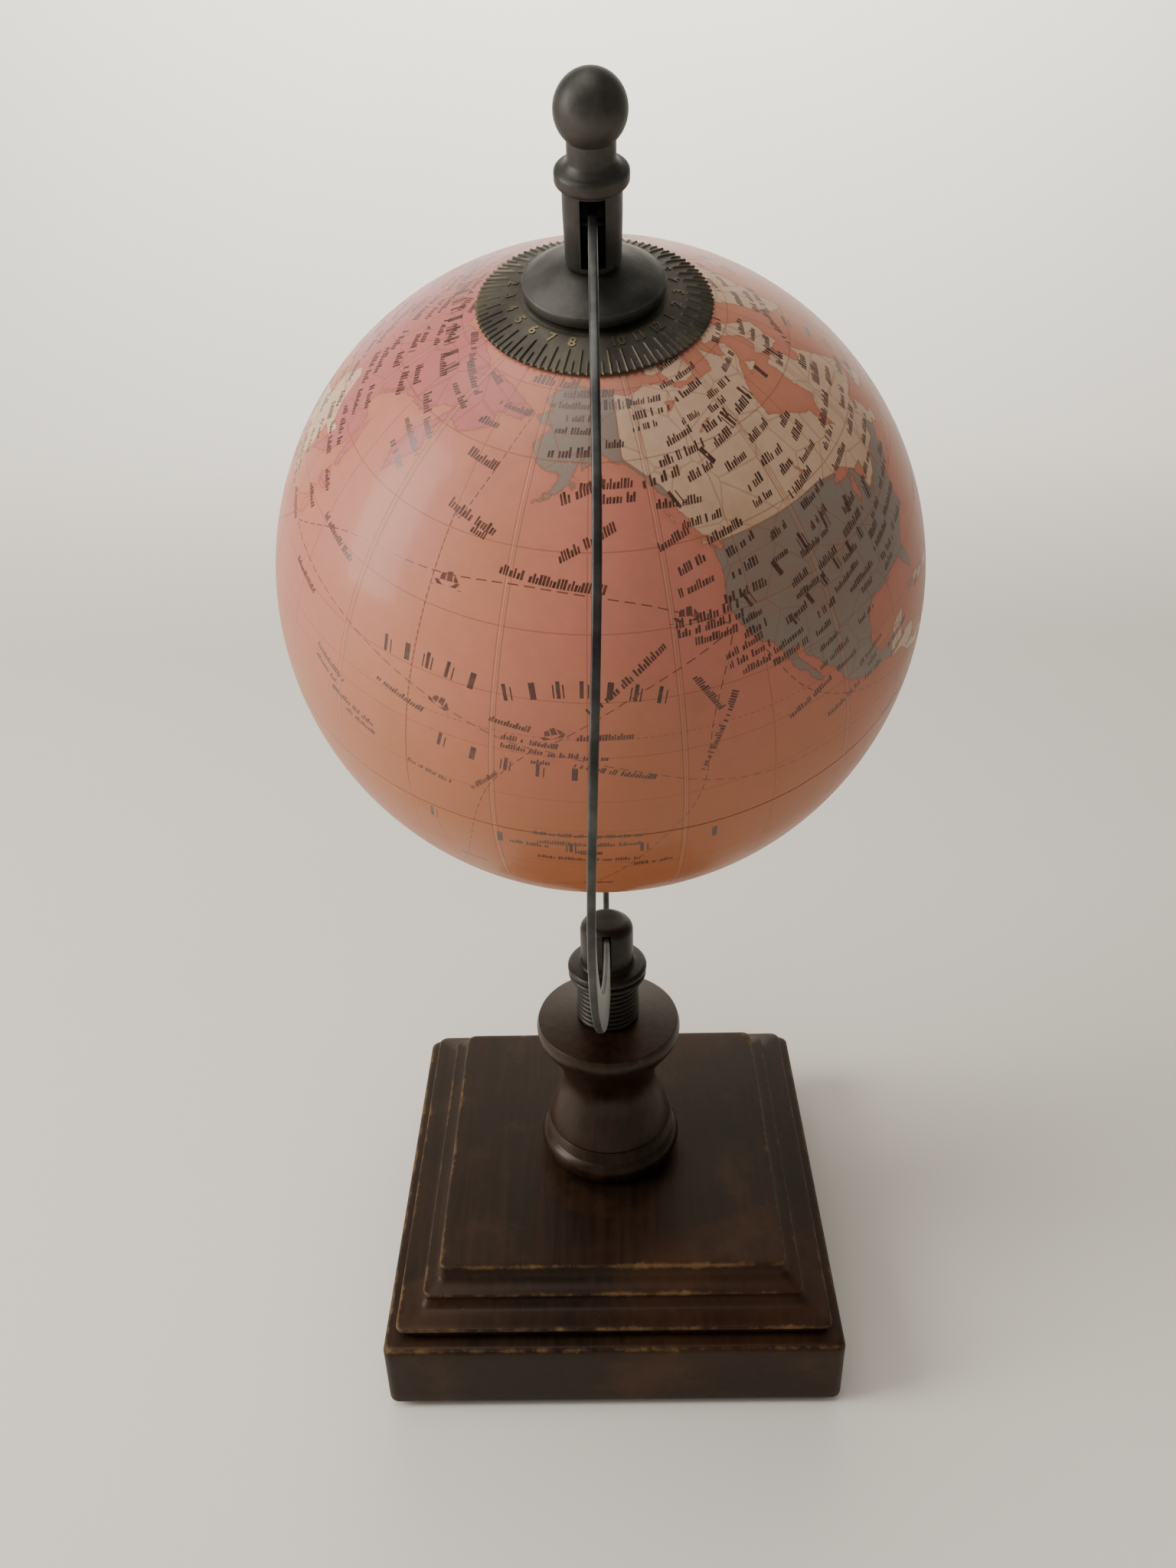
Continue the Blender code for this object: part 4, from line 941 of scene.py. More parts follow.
tones = {
    "grey": [
        [(73, -141), (60.2, -141), (59.4, -138.6), (58.2, -135.6), (56.6, -132.2), (55, -130.2), (53.5, -134),
         (50, -150), (50, -172), (60, -174), (66, -169), (73, -168)],
        [(32.5, -119), (33.5, -108), (30.5, -101), (26, -96.2), (24, -92), (18.5, -91), (17.8, -91), (17.5, -92),
         (14.5, -92.4), (12, -100), (22, -115)],
        [(49, -130), (49, -95.2), (48, -89.5), (46.5, -84.5), (45, -82.5), (42, -83), (42.8, -79), (45, -75),
         (45, -71.5), (47.3, -69), (45, -67), (43, -62), (30, -76), (22, -80.5), (22, -94), (26, -97.2),
         (29.5, -101.5), (29, -103), (31.8, -106.5), (31.3, -108.2), (31.3, -111), (32.5, -114.8), (32.5, -120),
         (40, -130)],
        [(23, 10), (33, 10), (31.5, 35), (22, 38), (10, 34), (10, 24), (20, 24)],
        [(-22, -66), (-27, -55), (-34, -58), (-38, -54), (-56, -62), (-56, -69), (-40, -71.5), (-28, -69.5)],
        [(39.5, 44.5), (38, 57), (35, 61), (25, 61.5), (26, 54), (30, 48.5)],
        [(51, 2), (49, 8), (46, 6.5), (43.5, 7.5), (42.5, 3), (43.3, -1.8), (48.5, -6)],
        [(-9, 141), (-26, 141), (-29, 141), (-29, 156), (-9, 148)],
        [(21, 100), (23, 105), (21.5, 108), (15, 110), (8, 105), (10, 102), (14, 100)],
    ],
    "mauve": [
        [(69.5, 30.5), (62.5, 31), (60, 28), (55.5, 21), (54, 23.5), (51.5, 23.7), (48.5, 22.2), (45.4, 29),
         (43.5, 35), (41.5, 41.5), (39.5, 45), (38.5, 49), (37.4, 54), (36, 61.5), (37.2, 67), (37, 71.5),
         (39.5, 73.7), (42.5, 80), (45, 82.5), (49, 87.5), (50.5, 92), (50, 98), (52, 99), (50.3, 107), (50, 117.5),
         (53.4, 121), (53.3, 124), (49.5, 128), (47.8, 131), (48.4, 134.8), (45, 132.5), (42.5, 130.7), (42, 134),
         (43, 146), (50, 160), (60, 172), (65.5, 191), (76, 190), (83, 180), (83, 30)],
        [(5, 18), (5, 30), (-4, 29.5), (-12, 29), (-11, 22), (-6, 12.5), (2, 16)],
        [(12, -72), (2, -67), (-4, -70), (-10, -71), (-18, -69.5), (-18, -72), (-5, -83), (2, -80), (8, -77.5)],
        [(-10, 129), (-38, 129), (-36, 110), (-18, 110)],
        [(59, 12), (64, 13), (69, 20.5), (65.8, 24.2), (60, 19.5), (55, 14)],
    ],
    "rose": [
        [(5, -60), (2, -50), (-6, -32), (-24, -42), (-34, -52), (-28, -57), (-22, -58), (-16, -60), (-10, -66),
         (-9, -73), (-4, -70), (1, -69), (2, -63)],
        [(37, -2), (37.5, 8), (30, 10), (20, 12), (19, 3), (25, -5), (28, -9)],
        [(32, 36), (29, 47), (24.5, 51.5), (20, 55), (17, 48), (16, 42), (28, 35)],
        [(35, 74), (30.5, 79), (27, 88), (26, 95), (20, 92), (5, 82), (5, 76), (18, 71), (24, 68)],
        [(49, 88), (52, 98), (50, 107), (50, 117), (46.5, 119), (42, 108), (43, 97), (46, 91)],
        [(54.5, 9), (54.3, 19), (50, 24), (49, 19), (47.5, 13), (47.5, 8), (51.5, 6)],
        [(-17, 11), (-22, 21), (-22, 31), (-27, 33), (-36, 28), (-36, 16)],
        [(46, 129), (46, 147), (30, 142), (30, 129), (35, 129.5)],
    ],
}


def printedLatitude(latitude, stretch):
    # latitude + stretch * sin(pi * latitude / 62) between the equator and 62 degrees north.
    return latitude + stretch * np.sin(np.pi * np.clip(latitude / 62, 0, 1))


def onSphere(latitude, longitude, radius, settings):
    # radius * (sin lat * north + cos lat * (sin lon * east - cos lon * back)), longitude from the front meridian.
    lat, lon = np.radians(latitude), np.radians(longitude - settings["frontMeridian"])
    x, y = radius * np.cos(lat) * np.sin(lon), -radius * np.cos(lat) * np.cos(lon)
    return inFrame(axisFrame, x, y, radius * np.sin(lat) + 0 * lon)


def onPrint(latitude, longitude, radius, settings):
    # The same for a printed latitude, which a table turns back into the sphere's own.
    table = np.linspace(-90, 90, 721)
    latitude = np.interp(latitude, printedLatitude(table, settings["stretch"]), table)
    return onSphere(latitude, longitude, radius, settings)


def outlineField(outlines, latitudes, columns, settings):
    # The signed distance to the nearest outline, in degrees: inside by even-odd crossings along each row, and the
    # distance by (edge nearest point), in a window round each edge. Longitudes run over two turns, then fold.
    reach, step = settings["reach"], 360 / columns
    longitudes = -360 + step * np.arange(2 * columns)
    field = np.full((len(latitudes), columns), -reach)
    for outline in outlines:
        inside = np.zeros((len(latitudes), 2 * columns), bool)
        nearest = np.full(inside.shape, reach)
        points = np.array(outline, float)
        points[:, 1] -= 360 * math.ceil((points[:, 1].max() - 359) / 360)
        for (lat, lon), (nextLat, nextLon) in zip(points, np.roll(points, -1, 0)):
            crossed = np.nonzero((latitudes > lat) != (latitudes > nextLat))[0]
            if len(crossed):
                meet = lon + (latitudes[crossed] - lat) / (nextLat - lat) * (nextLon - lon)
                inside[crossed] ^= longitudes[None, :] > meet[:, None]
            shrink = max(math.cos(math.radians((lat + nextLat) / 2)), 0.15)
            rows = np.abs(latitudes - (lat + nextLat) / 2) < reach + abs(lat - nextLat) / 2
            cols = np.abs(longitudes - (lon + nextLon) / 2) < reach / shrink + abs(lon - nextLon) / 2
            along, up = (nextLon - lon) * shrink, nextLat - lat
            x = (longitudes[cols][None, :] - lon) * shrink
            y = latitudes[rows][:, None] - lat
            t = np.clip((x * along + y * up) / (along**2 + up**2), 0, 1)
            window = np.ix_(rows, cols)
            nearest[window] = np.minimum(nearest[window], np.hypot(x - t * along, y - t * up))
        signed = np.where(inside, nearest, -nearest)
        field = np.maximum(field, np.maximum(signed[:, :columns], signed[:, columns:]))
    return field


def globeFields(settings, latitudes):
    # The signed distances from the land and from each tone. The southern land's shore is two waves about 70 south.
    columns = settings["columns"]
    longitudes = -360 + 360 / columns * np.arange(columns)
    shore = 70 + 4 * np.sin(np.radians(longitudes * 2 + 40)) + 2 * np.sin(np.radians(7 * longitudes))
    south = -(latitudes[:, None] + shore)
    land = outlineField([americas, oldWorld] + islands, latitudes, columns, settings)
    land = np.clip(np.maximum(land, south), -settings["reach"], settings["reach"])
    fields = {"land": np.minimum(land, -outlineField(waters, latitudes, columns, settings))}
    for tone, outlines in tones.items():
        fields[tone] = outlineField(outlines, latitudes, columns, settings)
    return fields, longitudes


def makeShells(settings, material):
    # Two half shells, each a closed ring: outside from the pole's hole to the seam, then the inside back.
    skin, inside, hole, seam = (settings[key] for key in ("skin", "inside", "hole", "seam"))
    kept = {}
    for side, node in ((1, "north_hemisphere"), (-1, "south_hemisphere")):
        high = math.degrees(math.acos(hole / skin))
        outer = np.concatenate((np.linspace(high, 0.3, settings["rows"]), [math.degrees(seam / skin)])) * side
        inner = np.linspace(math.degrees(seam / inside), math.degrees(math.acos(hole / inside)), 5) * side
        geometric = np.concatenate((outer, inner))
        latitudes = printedLatitude(geometric, settings["stretch"])
        fields, longitudes = globeFields(settings, latitudes)
        radius = np.concatenate((np.full(len(outer), skin), np.full(len(inner), inside)))
        points = onSphere(geometric[:, None], longitudes[None, :], radius[:, None], settings)
        faces = gridFaces(*points.shape[:2], closeRows=True, closeCols=True)
        shell = makePiece(node.replace("_h", "H") + "Print", points, faces[:, ::side], material, "globe",
                          seal=False)
        for name, field in fields.items():
            storeField(shell, name, field)
        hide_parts(node)
        kept[side] = (latitudes[:settings["rows"]], longitudes, fields["land"][:settings["rows"]])
    return kept


mapColours = {
    "sea": (0.57, 0.222, 0.132),
    "seaRose": (0.58, 0.205, 0.152),
    # the sea's painted shade: a darker orange laid on towards the south, where the globe's lower half falls into shade
    "seaPaintedShade": (0.41, 0.140, 0.056),
    "cream": (0.65, 0.435, 0.295),
    "grey": (0.260, 0.212, 0.178),
    "mauve": (0.50, 0.155, 0.150),
    "rose": (0.56, 0.185, 0.110),
    "ink": (0.016, 0.010, 0.008),
    "line": (0.26, 0.075, 0.040),
    "age": (0.34, 0.14, 0.065),
}


def findAngles(paint, settings):
    # Latitude is asin(height along north / distance), and longitude atan2(east, front), both in degrees. Shrink is
    # the cosine of the latitude.
    centre = tuple(float(c) for c in globeCentre)
    arm = paint.node("ShaderNodeVectorMath", {"operation": "SUBTRACT"}, {0: paint.place(), 1: centre})

    def along(axis):
        inputs = {0: arm, 1: tuple(float(c) for c in axis)}
        return paint.node("ShaderNodeVectorMath", {"operation": "DOT_PRODUCT"}, inputs, "Value")

    reach = paint.node("ShaderNodeVectorMath", {"operation": "LENGTH"}, {0: arm}, "Value")
    sine = along(north) / reach
    geometric = sine.maths("ARCSINE", sine) * math.degrees(1)
    swell = geometric / 62.0
    swell = swell.maths("MAXIMUM", swell, 0.0)
    swell = swell.maths("MINIMUM", swell, 1.0) * math.pi
    lat = geometric + swell.maths("SINE", swell) * settings["stretch"]
    eastward = along(east)
    lon = eastward.maths("ARCTAN2", eastward, along(-back)) * math.degrees(1) + settings["frontMeridian"]
    return lat, lon, (1.0 - sine * sine) ** 0.5


def makeMapPaint(colours, settings):
    # The fields' edges are the coasts and borders, and the graticule and the gores' joins come from the angles.
    paint = Paint("printedGlobe", coatWeight=0.12, coatRoughness=0.12, specularIORLevel=0.20)
    lat, lon, shrink = findAngles(paint, settings)

    def fromLines(value, spacing, offset=0.0):
        # The distance, in degrees, to the nearest multiple of the spacing.
        turns = (value - offset) / spacing + 0.5
        return abs(turns.maths("FRACT", turns) - 0.5) * spacing

    def line(distance, half, soft=0.05):
        return paint.rise(distance, half, half + soft, 1.0, 0.0)

    broad = paint.noise(14.0, 3.0, 0.55)
    blotch = paint.noise(45.0, 4.0, 0.6)
    fine = paint.noise(420.0, 4.0, 0.65)
    grit = paint.noise(1500.0, 2.0, 0.6)
    wobble = (paint.noise(900.0, 4.0, 0.7) - 0.5) * 1.1 + (paint.noise(250.0, 3.0, 0.6) - 0.5) * 0.8
    land = paint.attribute("land") + wobble
    fields = {tone: paint.attribute(tone) + wobble * 0.12 for tone in tones}

    # the sea is rosier in patches, and darker and more orange towards the south, which is painted shade on the globe's
    # lower half
    sea = paint.mix(paint.rise(broad, 0.38, 0.62), colours["sea"], colours["seaRose"])
    sea = paint.mix(paint.rise(lat, -8.0, 42.0, 0.92, 0.0), sea, colours["seaPaintedShade"])
    sea = paint.mix(paint.rise(land, -1.6, 0.0) * 0.10, sea, colours["line"])
    ground = colours["cream"]
    border = None
    for tone in ("rose", "mauve", "grey"):
        ground = paint.mix(paint.rise(fields[tone], -0.04, 0.04), ground, colours[tone])
        edge = line(abs(fields[tone]), 0.07, 0.08)
        border = edge if border is None else border.maths("MAXIMUM", border, edge)
    # provinces are the edges of cells, over the ground's tone
    cells = paint.node("ShaderNodeTexVoronoi", {"feature": "DISTANCE_TO_EDGE"},
                       {"Vector": paint.place(), "Scale": 120.0, "Randomness": 0.75}, "Distance")
    province = line(cells * 60.0, 0.8, 0.8) * 0.30
    ground = paint.mix(province, ground, colours["line"])
    ground = paint.mix(border * 0.55, ground, colours["line"])

    colour = paint.mix(paint.rise(land, -0.05, 0.05), sea, ground)
    colour = paint.mix(line(abs(land), 0.05, 0.12) * 0.45, colour, colours["line"])

    # graticule, and the gores' joins with a pale strip between two lines
    meridian = fromLines(lon, 15.0) * shrink
    parallel = fromLines(lat, 10.0)
    net = meridian.maths("MINIMUM", meridian, parallel)
    join = fromLines(lon, 30.0, 15.0) * shrink
    pale = line(join, 0.22)
    rails = line(abs(join - 0.42), 0.03, 0.09)
    colour = paint.mix(line(net, 0.035, 0.10) * 0.50, colour, colours["line"])
    colour = paint.mix(pale * 0.16, colour, colours["cream"])
    colour = paint.mix(rails * 0.50, colour, colours["line"])

    # age: brown clouds, foxing and rubbed paper
    age = paint.rise(blotch, 0.50, 0.78, 0.0, 0.30) + paint.rise(grit, 0.70, 0.80, 0.0, 0.25)
    colour = paint.mix(age, colour, colours["age"])
    colour = paint.mix(paint.rise(fine, 0.30, 0.75, 0.16, 0.0), colour, colours["age"])
    rubbed = paint.rise(paint.noise(160.0, 5.0, 0.75), 0.66, 0.74, 0.0, 0.28)
    colour = paint.mix(rubbed, colour, colours["cream"])

    rough = 0.42 + (blotch - 0.5) * 0.22 + (fine - 0.5) * 0.12 + rubbed * 0.3
    height = fine * 0.25 + grit * 0.15 + pale * 0.5 - rails * 0.4 + broad * 0.6
    return paint.feed(Base_Color=colour, Roughness=rough, Normal=paint.bump(height, 0.00010, 0.45))


mapPaint = makeMapPaint(mapColours, globeSettings)
shellMaps = makeShells(globeSettings, mapPaint)
print("globe made")

# marks printed on the map: strokes, dashes, a frame and small ships, with no words

markSettings = {
    "radius": 0.074945,
    "degree": 1.3090,  # mm to a degree of latitude
    "seed": 41,
    # latitude, longitude, heading in degrees north of east, length in mm, height in mm
    "seaRows": [
        (58.5, -179, -8, 6.0, 1.0), (52.0, -176, -12, 9.0, 1.1), (50.6, -173.5, -12, 3.0, 0.9),
        (57.6, -146, 0, 8.0, 1.0), (56.0, -143.5, 0, 5.5, 1.0), (56.8, -152, 22, 7.0, 1.2),
        (51.0, -150.5, 27, 10.0, 1.1), (46.4, -157, -6, 17.0, 1.1), (33.0, -144, 42, 15.0, 1.1),
        (24.0, -147.5, 2, 9.5, 1.0), (25.2, -162.5, -8, 7.5, 1.0), (22.6, -162, -2, 3.4, 0.9),
        (22.2, -157, -4, 4.8, 0.9), (20.8, -160.5, -3, 7.5, 0.9), (20.4, -154, 0, 4.5, 0.9),
        (18.6, -157.5, 0, 3.4, 0.9), (20.0, -149, 0, 4.0, 0.9), (17.0, -146, -16, 13.0, 1.0),
        (40.6, -129, 4, 9.0, 1.1), (39.2, -128.6, 3, 9.0, 1.0), (37.6, -128, 2, 8.0, 1.0),
        (50.6, -132.5, 18, 6.0, 1.0), (47.2, -130, 16, 4.5, 1.0), (44.6, -130, 12, 6.0, 1.0),
        (34.8, -123.5, 12, 7.0, 1.0), (33.2, -122.8, 10, 6.5, 1.0), (31.4, -122, 8, 6.0, 1.0),
        (29.5, -130.5, -62, 8.5, 1.0), (21.5, -129.5, 66, 14.0, 1.0), (21.0, -113, 20, 10.0, 1.0),
        (16.0, -106, 16, 8.0, 1.0), (24.0, 178, -12, 10.0, 1.0), (15.0, 168, -10, 11.0, 1.0),
        (12.8, 170, -10, 8.0, 0.9), (20.5, 162, -20, 9.0, 1.0), (18.5, 161, -20, 7.0, 0.9),
        (10.0, -176, -10, 8.0, 0.9), (12.0, -166.5, 52, 8.5, 0.9), (-3.5, -160, 0, 7.0, 0.9),
        (-5.0, -150, 0, 4.0, 0.9), (-9.0, -140, 4, 7.0, 0.9), (-14.0, -171, 0, 6.0, 0.9), (-17.5, -149, 0, 6.0, 0.9),
        (-18.0, 178, 0, 6.0, 0.9), (71.2, -166, 0, 8.0, 1.3), (30.0, 150, -8, 9.0, 1.0), (40.0, 155, -10, 10.0, 1.0),
        (0.5, -92, 0, 7.0, 1.0), (-27, -108, 0, 7.0, 0.9), (30, -65, 8, 7.0, 1.0), (38, -28, 0, 6.0, 0.9),
        (16, -24, 0, 6.0, 0.9), (13, 72, 0, 5.0, 0.9), (14, 90, 0, 9.0, 1.1), (62, -58, 30, 7.0, 1.0),
        (58, 0, 0, 7.0, 1.0), (36, 18, 0, 8.0, 1.0), (-12, 97, 0, 6.0, 0.9), (-20, 57, 0, 6.0, 0.9),
        (-38, 160, -12, 7.0, 1.0), (-62, -60, 0, 8.0, 1.0),
    ],
    # spaced capitals become tall strokes: latitude, longitude, end latitude, end longitude, bow, count, height
    "titles": [
        (31.5, 174.5, 31.0, -169.0, 0.6, 5, 2.2), (30.5, -163.0, 30.5, -138.0, 1.6, 7, 2.2),
        (18.5, -173.5, 16.5, -152.0, -0.4, 5, 2.2), (55.0, -129.5, 62.0, -72.0, 3.5, 6, 1.9),
        (41.0, -120.5, 42.5, -84.0, 3.0, 6, 1.9), (35.5, -113.0, 39.5, -92.0, 1.0, 6, 1.6),
        (68.0, -147.0, 67.8, -136.0, 0.0, 5, 1.3), (64.0, 78.0, 66.0, 150.0, 4.0, 12, 2.0),
        (-2.0, -176.0, -3.0, -130.0, -1.0, 5, 2.2), (-32.0, -165.0, -32.0, -110.0, -2.0, 12, 2.2),
        (20.0, -58.0, 22.0, -28.0, 1.0, 8, 2.2), (-22.0, -28.0, -22.0, 5.0, -1.0, 8, 2.2),
        (-18.0, 62.0, -20.0, 96.0, -1.0, 6, 2.2), (8.0, -4.0, 10.0, 36.0, 1.5, 6, 2.4),
        (-12.0, -66.0, -14.0, -42.0, 0.5, 7, 2.2), (-24.0, 120.0, -25.0, 148.0, 0.5, 9, 2.0),
        (32.0, 78.0, 32.0, 118.0, 1.0, 5, 1.9), (47.0, 5.0, 52.0, 45.0, 1.5, 6, 2.0),
        (60.0, -52.0, 35.0, -46.0, 0.0, 8, 1.8), (-50.0, 10.0, -52.0, 70.0, -1.0, 8, 2.0),
    ],
    # dashed sea routes, each through its stops
    "routes": [
        [(34.5, 141), (42.0, 158), (44.5, -178), (45.5, -160), (43.5, -140), (38.5, -124.5)],
        [(34.0, 141), (31.0, 163), (26.5, -178), (22.5, -165), (21.0, -158.5)],
        [(38.0, -124.5), (31.0, -142), (21.5, -157)], [(21.0, -156.5), (17.0, -143), (9.0, -120), (7.5, -81)],
        [(37.0, -125), (25.0, -130), (6.0, -134), (-17.5, -149.5)],
        [(21.0, -158.5), (10, -166), (-14, -172), (-35.5, 178)],
        [(33, -119.5), (22, -112), (13, -98), (7.5, -81)], [(-17.5, -150.5), (-28, -175), (-36, 176)],
        [(40, -72), (46, -45), (50, -8)], [(10, -79), (25, -65), (48, -8)], [(-34, -55), (-5, -33), (36, -10)],
        [(12.5, 45), (6, 78), (6, 95)], [(-34, 19), (-10, -8), (30, -18)], [(34, 138), (20, 124), (1.5, 106)],
    ],
    "dateLine": [[(66, -169), (52, -178), (48, -180), (2, -180)], [(0, -180), (-8, -175), (-45, -175), (-62, -180)]],
    "tropics": (23.5, -23.5),
    "routeDash": (1.9, 1.0, 0.20),  # dash, gap, and width in mm
    "dateDash": (0.9, 0.5, 0.13),
    "tropicDash": (0.7, 0.6, 0.11),
    "ships": [(43.6, -177, 4), (41.0, -132.5, -6), (25.5, -174.5, -20), (24.0, -155.5, 18), (-24, -132, 0),
              (33, -52, 5), (-30, -12, 0), (-8, 82, 4), (12, 62, 0)],
    "shipScale": 1.4,
    "frame": (-3.5, -150.5, 25.0, 13.0),  # latitude, longitude, width and height in mm
    "frameLine": 0.1,
    "noteRows": (20.0, 22.0, 6.0, 21.0),  # lengths of the rows inside the frame
    "landDensity": 0.10,  # the share of places on land that are tried
    "landSpacing": 1.75,  # degrees from one row to the next
    # from the ink's black at 0 to the map's brown at 1
    "shades": {"sea": 0.12, "title": 0.08, "route": 0.55, "dateLine": 0.5, "tropic": 0.7, "frame": 0.7, "note": 0.2,
               "ship": 0.35, "land": 0.05},
}
shipShapes = [  # hull, three sails and the water's line, each convex
    [(-1.3, -0.55), (1.4, -0.55), (1.9, 0.05), (-1.7, 0.0)], [(-1.0, 0.1), (-0.2, 0.1), (-0.2, 1.0), (-0.8, 0.9)],
    [(0.0, 0.1), (0.8, 0.1), (0.7, 1.3), (0.0, 1.2)], [(1.0, 0.1), (1.7, 0.15), (1.1, 0.9), (1.0, 0.9)],
    [(-2.2, -0.78), (2.2, -0.78), (2.2, -0.7), (-2.2, -0.7)],
]


class MarkSheet:
    # Marks are convex outlines in mm (x, y) about a place, turned by a heading and laid on the sphere at
    # latitude + y / degree, longitude + x / (degree * cos latitude).
    def __init__(self, settings, globe):
        self.settings, self.globe, self.degree = settings, globe, settings["degree"]
        self.random = np.random.default_rng(settings["seed"])
        self.outlines, self.shades = [], []

    def lay(self, points, lat, lon, heading, shade):
        turn = math.radians(heading)
        x, y = np.moveaxis(np.asarray(points, float), -1, 0)
        right, up = x * math.cos(turn) - y * math.sin(turn), x * math.sin(turn) + y * math.cos(turn)
        newLat = lat + up / self.degree
        newLon = lon + right / (self.degree * np.cos(np.radians(np.clip(newLat, -84, 84))))
        self.outlines.append(onPrint(newLat, newLon, self.settings["radius"], self.globe))
        self.shades.append(np.full(len(points), self.settings["shades"][shade]))

    def strokeRow(self, lat, lon, heading, length, height, shade):
        # A broken row of upright strokes: widths and gaps are drawn at random, with a wider gap between words.
        number = max(int(length / (0.42 * height)), 3)
        width = self.random.uniform(0.17, 0.32, number) * height
        gap = self.random.uniform(0.10, 0.17, number) * height + (self.random.random(number) < 0.10) * 0.45 * height
        left = np.concatenate(([0], np.cumsum(width + gap)[:-1]))
        left = left - left[-1] / 2
        tall = height * self.random.choice([0.62, 0.66, 0.95, 1.0], number)
        slant, low = 0.12 * height, -height / 2
        quads = np.stack((
            np.stack((left, left + width, left + width + slant, left + slant), 1),
            np.stack((low + 0 * left, low + 0 * left, low + tall, low + tall), 1),
        ), -1)
        self.lay(quads, lat, lon, heading, shade)

    def capitals(self, lat, lon, endLat, endLon, bow, count, height, shade):
        # Each capital becomes plain uprights of unlike weight, which make no letter, along a line bowed to the north.
        span = (endLon - lon + 540) % 360 - 180
        half, wide, thin = 0.5 * height, 0.20 * height, 0.07 * height
        pens = ([(-0.6, wide, 1.0), (1.1, thin, 0.8)], [(0, 1.6 * wide, 1.0)],
                [(-1.3, thin, 0.8), (0, wide, 1.0), (1.3, thin, 0.8)])
        for k in range(count):
            t = k / max(count - 1, 1)
            here = (lat + (endLat - lat) * t + bow * math.sin(math.pi * t), lon + span * t)
            slope = (endLat - lat + bow * math.pi * math.cos(math.pi * t)) / (span * math.cos(math.radians(here[0])))
            bars = []
            for at, pen, tall in pens[k % len(pens)]:
                left, right, top = at * wide - pen / 2, at * wide + pen / 2, half * (2 * tall - 1)
                bars.append([(left, -half), (right, -half), (right, top), (left, top)])
            self.lay(bars, *here, math.degrees(math.atan(slope)), shade)

    def dashed(self, stops, dash, gap, width, shade):
        # Dashes at even steps along a smooth line through the stops, each turned to the line's heading there.
        longitudes = np.degrees(np.unwrap(np.radians([lon for _, lon in stops])))
        longitudes = np.where(longitudes.max() > 0, longitudes - 360, longitudes)
        points = smoothLine([(lat, lon if lon < 0 else lon - 360) for (lat, _), lon in zip(stops, longitudes)], 24)
        middle = np.radians((points[1:, 0] + points[:-1, 0]) / 2)
        step = np.hypot(np.diff(points[:, 0]), np.diff(points[:, 1]) * np.cos(middle)) * self.degree
        travelled = np.concatenate(([0], np.cumsum(step)))
        for start in np.arange(0, travelled[-1] - dash, dash + gap):
            lat, nextLat = np.interp((start, start + dash), travelled, points[:, 0])
            lon, nextLon = np.interp((start, start + dash), travelled, points[:, 1])
            heading = math.degrees(math.atan2(nextLat - lat, (nextLon - lon) * math.cos(math.radians(lat))))
            bar = [[(0, -width / 2), (dash, -width / 2), (dash, width / 2), (0, width / 2)]]
            self.lay(bar, lat, lon, heading, shade)

    def framedNote(self, lat, lon, width, height, pen, rows):
        # The long sides are in eight lengths each, so that they keep to the sphere.
        part = width / 8
        for y in (height / 2, -height / 2):
            for left in -width / 2 + part * np.arange(8):
                self.lay([[(left, y), (left + part, y), (left + part, y + pen), (left, y + pen)]], lat, lon, 0, "frame")
        for x in (-width / 2, width / 2):
            side = [[(x, -height / 2), (x + pen, -height / 2), (x + pen, height / 2), (x, height / 2)]]
            self.lay(side, lat, lon, 0, "frame")
        for k, length in enumerate(rows):
            self.strokeRow(lat + (0.36 - 0.24 * k) * height / self.degree, lon, 0, length, 1.4, "note")

    def landNames(self, latitudes, longitudes, land):
        # Names on land, thick where the land is wide, and running a little uphill to the east.
        rows, cols = np.nonzero(land > 0.5)
        keep = self.random.random(len(rows)) < self.settings["landDensity"] * np.cos(np.radians(latitudes[rows]))
        taken = []
        for i, j in zip(rows[keep], cols[keep]):
            lat, lon = latitudes[i], longitudes[j]
            length, shrink = self.random.uniform(4.0, 9.5), math.cos(math.radians(lat))
            if any(abs(lat - otherLat) < self.settings["landSpacing"]
                   and abs((lon - otherLon + 540) % 360 - 180) * shrink < 0.45 * (length + otherLength)
                   for otherLat, otherLon, otherLength in taken):
                continue
            taken.append((lat, lon, length))
            lean = 9 if lon % 360 > 235 and lat > 15 else -24 if 100 < lon % 360 < 172 and lat > 20 else 0
            heading = lean + self.random.normal(0, 3)
            self.strokeRow(lat, lon, heading, length, self.random.uniform(1.25, 1.65), "land")

    def finish(self, material):
        points = np.vstack(self.outlines)
        faces = np.arange(len(points) * 4).reshape(-1, 4)
        marks = makePiece("mapMarks", points, faces, material, "globe", seal=False, smooth=False)
        storeField(marks, "shade", np.repeat(np.concatenate(self.shades), 4))
        print("marks:", len(points))


def makeMarks(settings, globe, maps, material):
    sheet = MarkSheet(settings, globe)
    for lat, lon, heading, length, height in settings["seaRows"]:
        sheet.strokeRow(lat, lon, heading, 1.2 * length, 1.5 * height, "sea")
    for lat, lon, endLat, endLon, bow, count, height in settings["titles"]:
        sheet.capitals(lat, lon, endLat, endLon, bow, count, 1.6 * height, "title")
    for stops in settings["routes"]:
        sheet.dashed(stops, *settings["routeDash"], "route")
    for stops in settings["dateLine"]:
        sheet.dashed(stops, *settings["dateDash"], "dateLine")
    for lat in settings["tropics"]:
        sheet.dashed([(lat, lon) for lon in range(-359, 1, 20)], *settings["tropicDash"], "tropic")
    sheet.framedNote(*settings["frame"], settings["frameLine"], settings["noteRows"])
    for lat, lon, heading in settings["ships"]:
        sheet.lay(settings["shipScale"] * np.array(shipShapes), lat, lon, heading, "ship")
    for latitudes, longitudes, land in maps.values():
        sheet.landNames(latitudes, longitudes, land)
    sheet.finish(material)


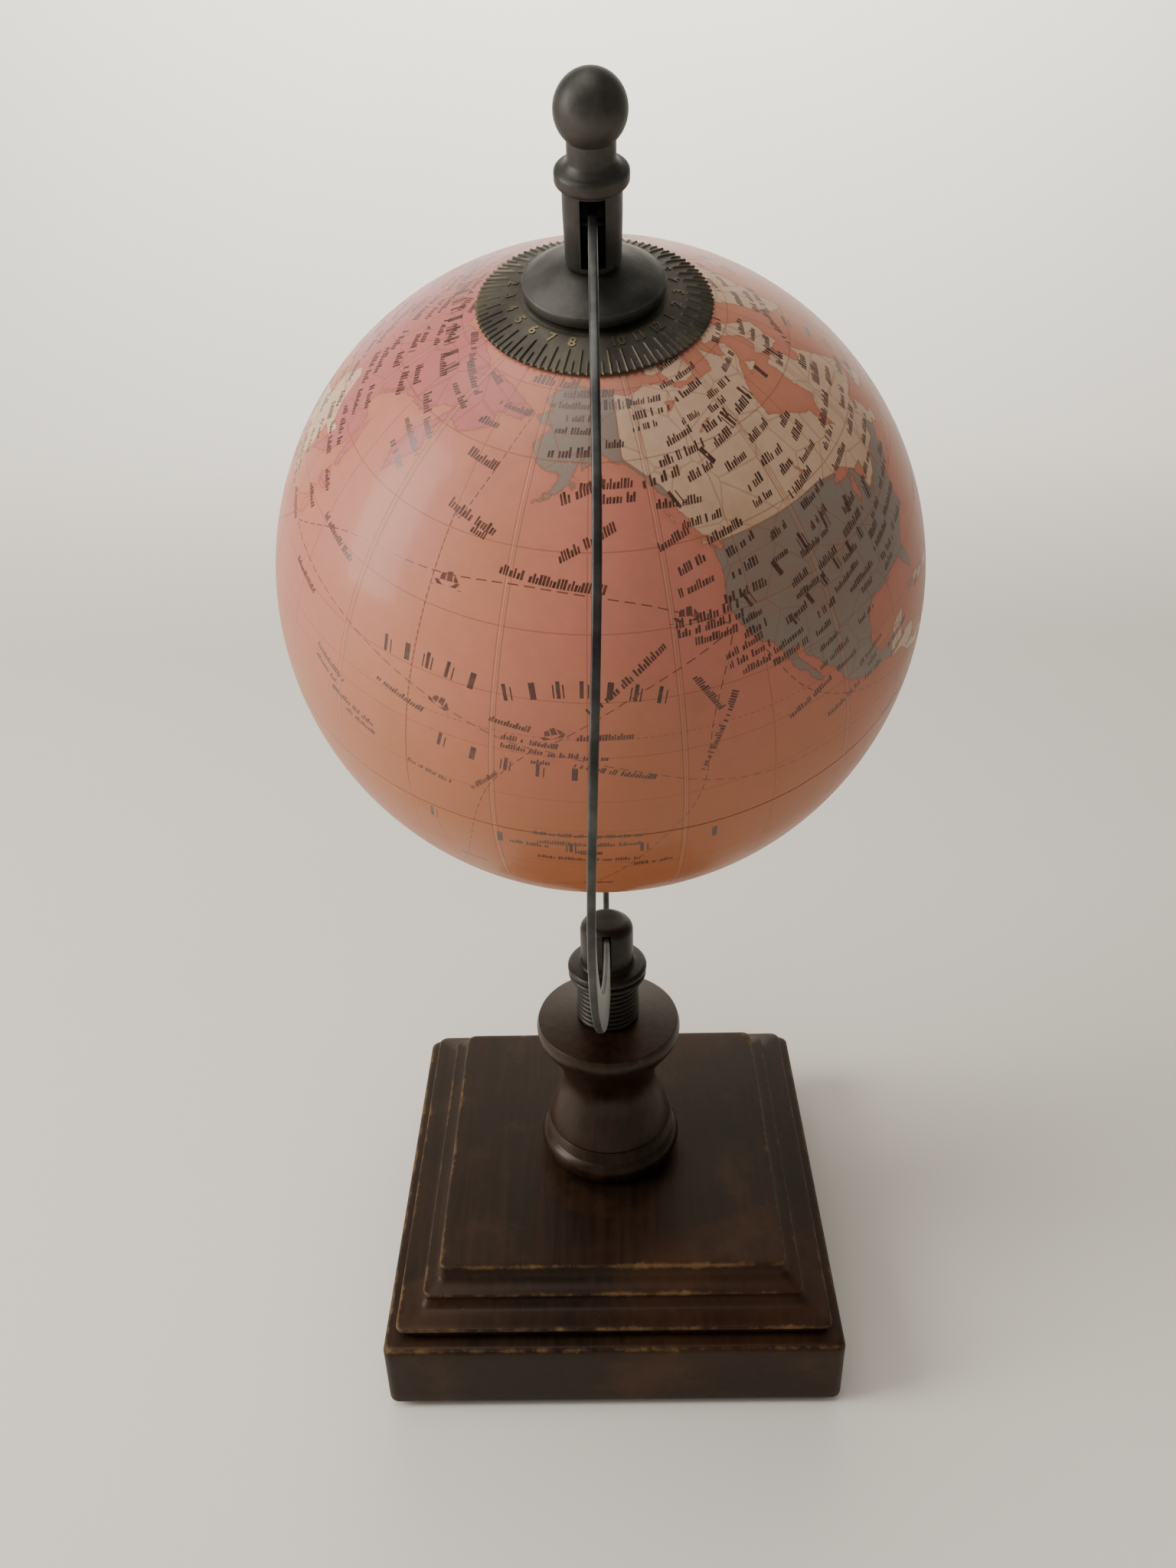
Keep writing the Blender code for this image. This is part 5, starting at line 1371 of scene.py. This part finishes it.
def makeInkPaint(colours):
    # Ink that is worn thin in places, and browner where the shade attribute is higher.
    paint = Paint("mapInk", coatWeight=0.30, coatRoughness=0.14)
    thin = paint.noise(700.0, 4.0, 0.7)
    colour = paint.mix(paint.attribute("shade"), colours["ink"], colours["line"])
    colour = paint.mix(paint.rise(thin, 0.35, 0.75, 0.05, 0.55), colour, colours["line"])
    return paint.feed(Base_Color=colour, Roughness=0.38 + (thin - 0.5) * 0.2)


makeMarks(markSettings, globeSettings, shellMaps, makeInkPaint(mapColours))
print("marks made")
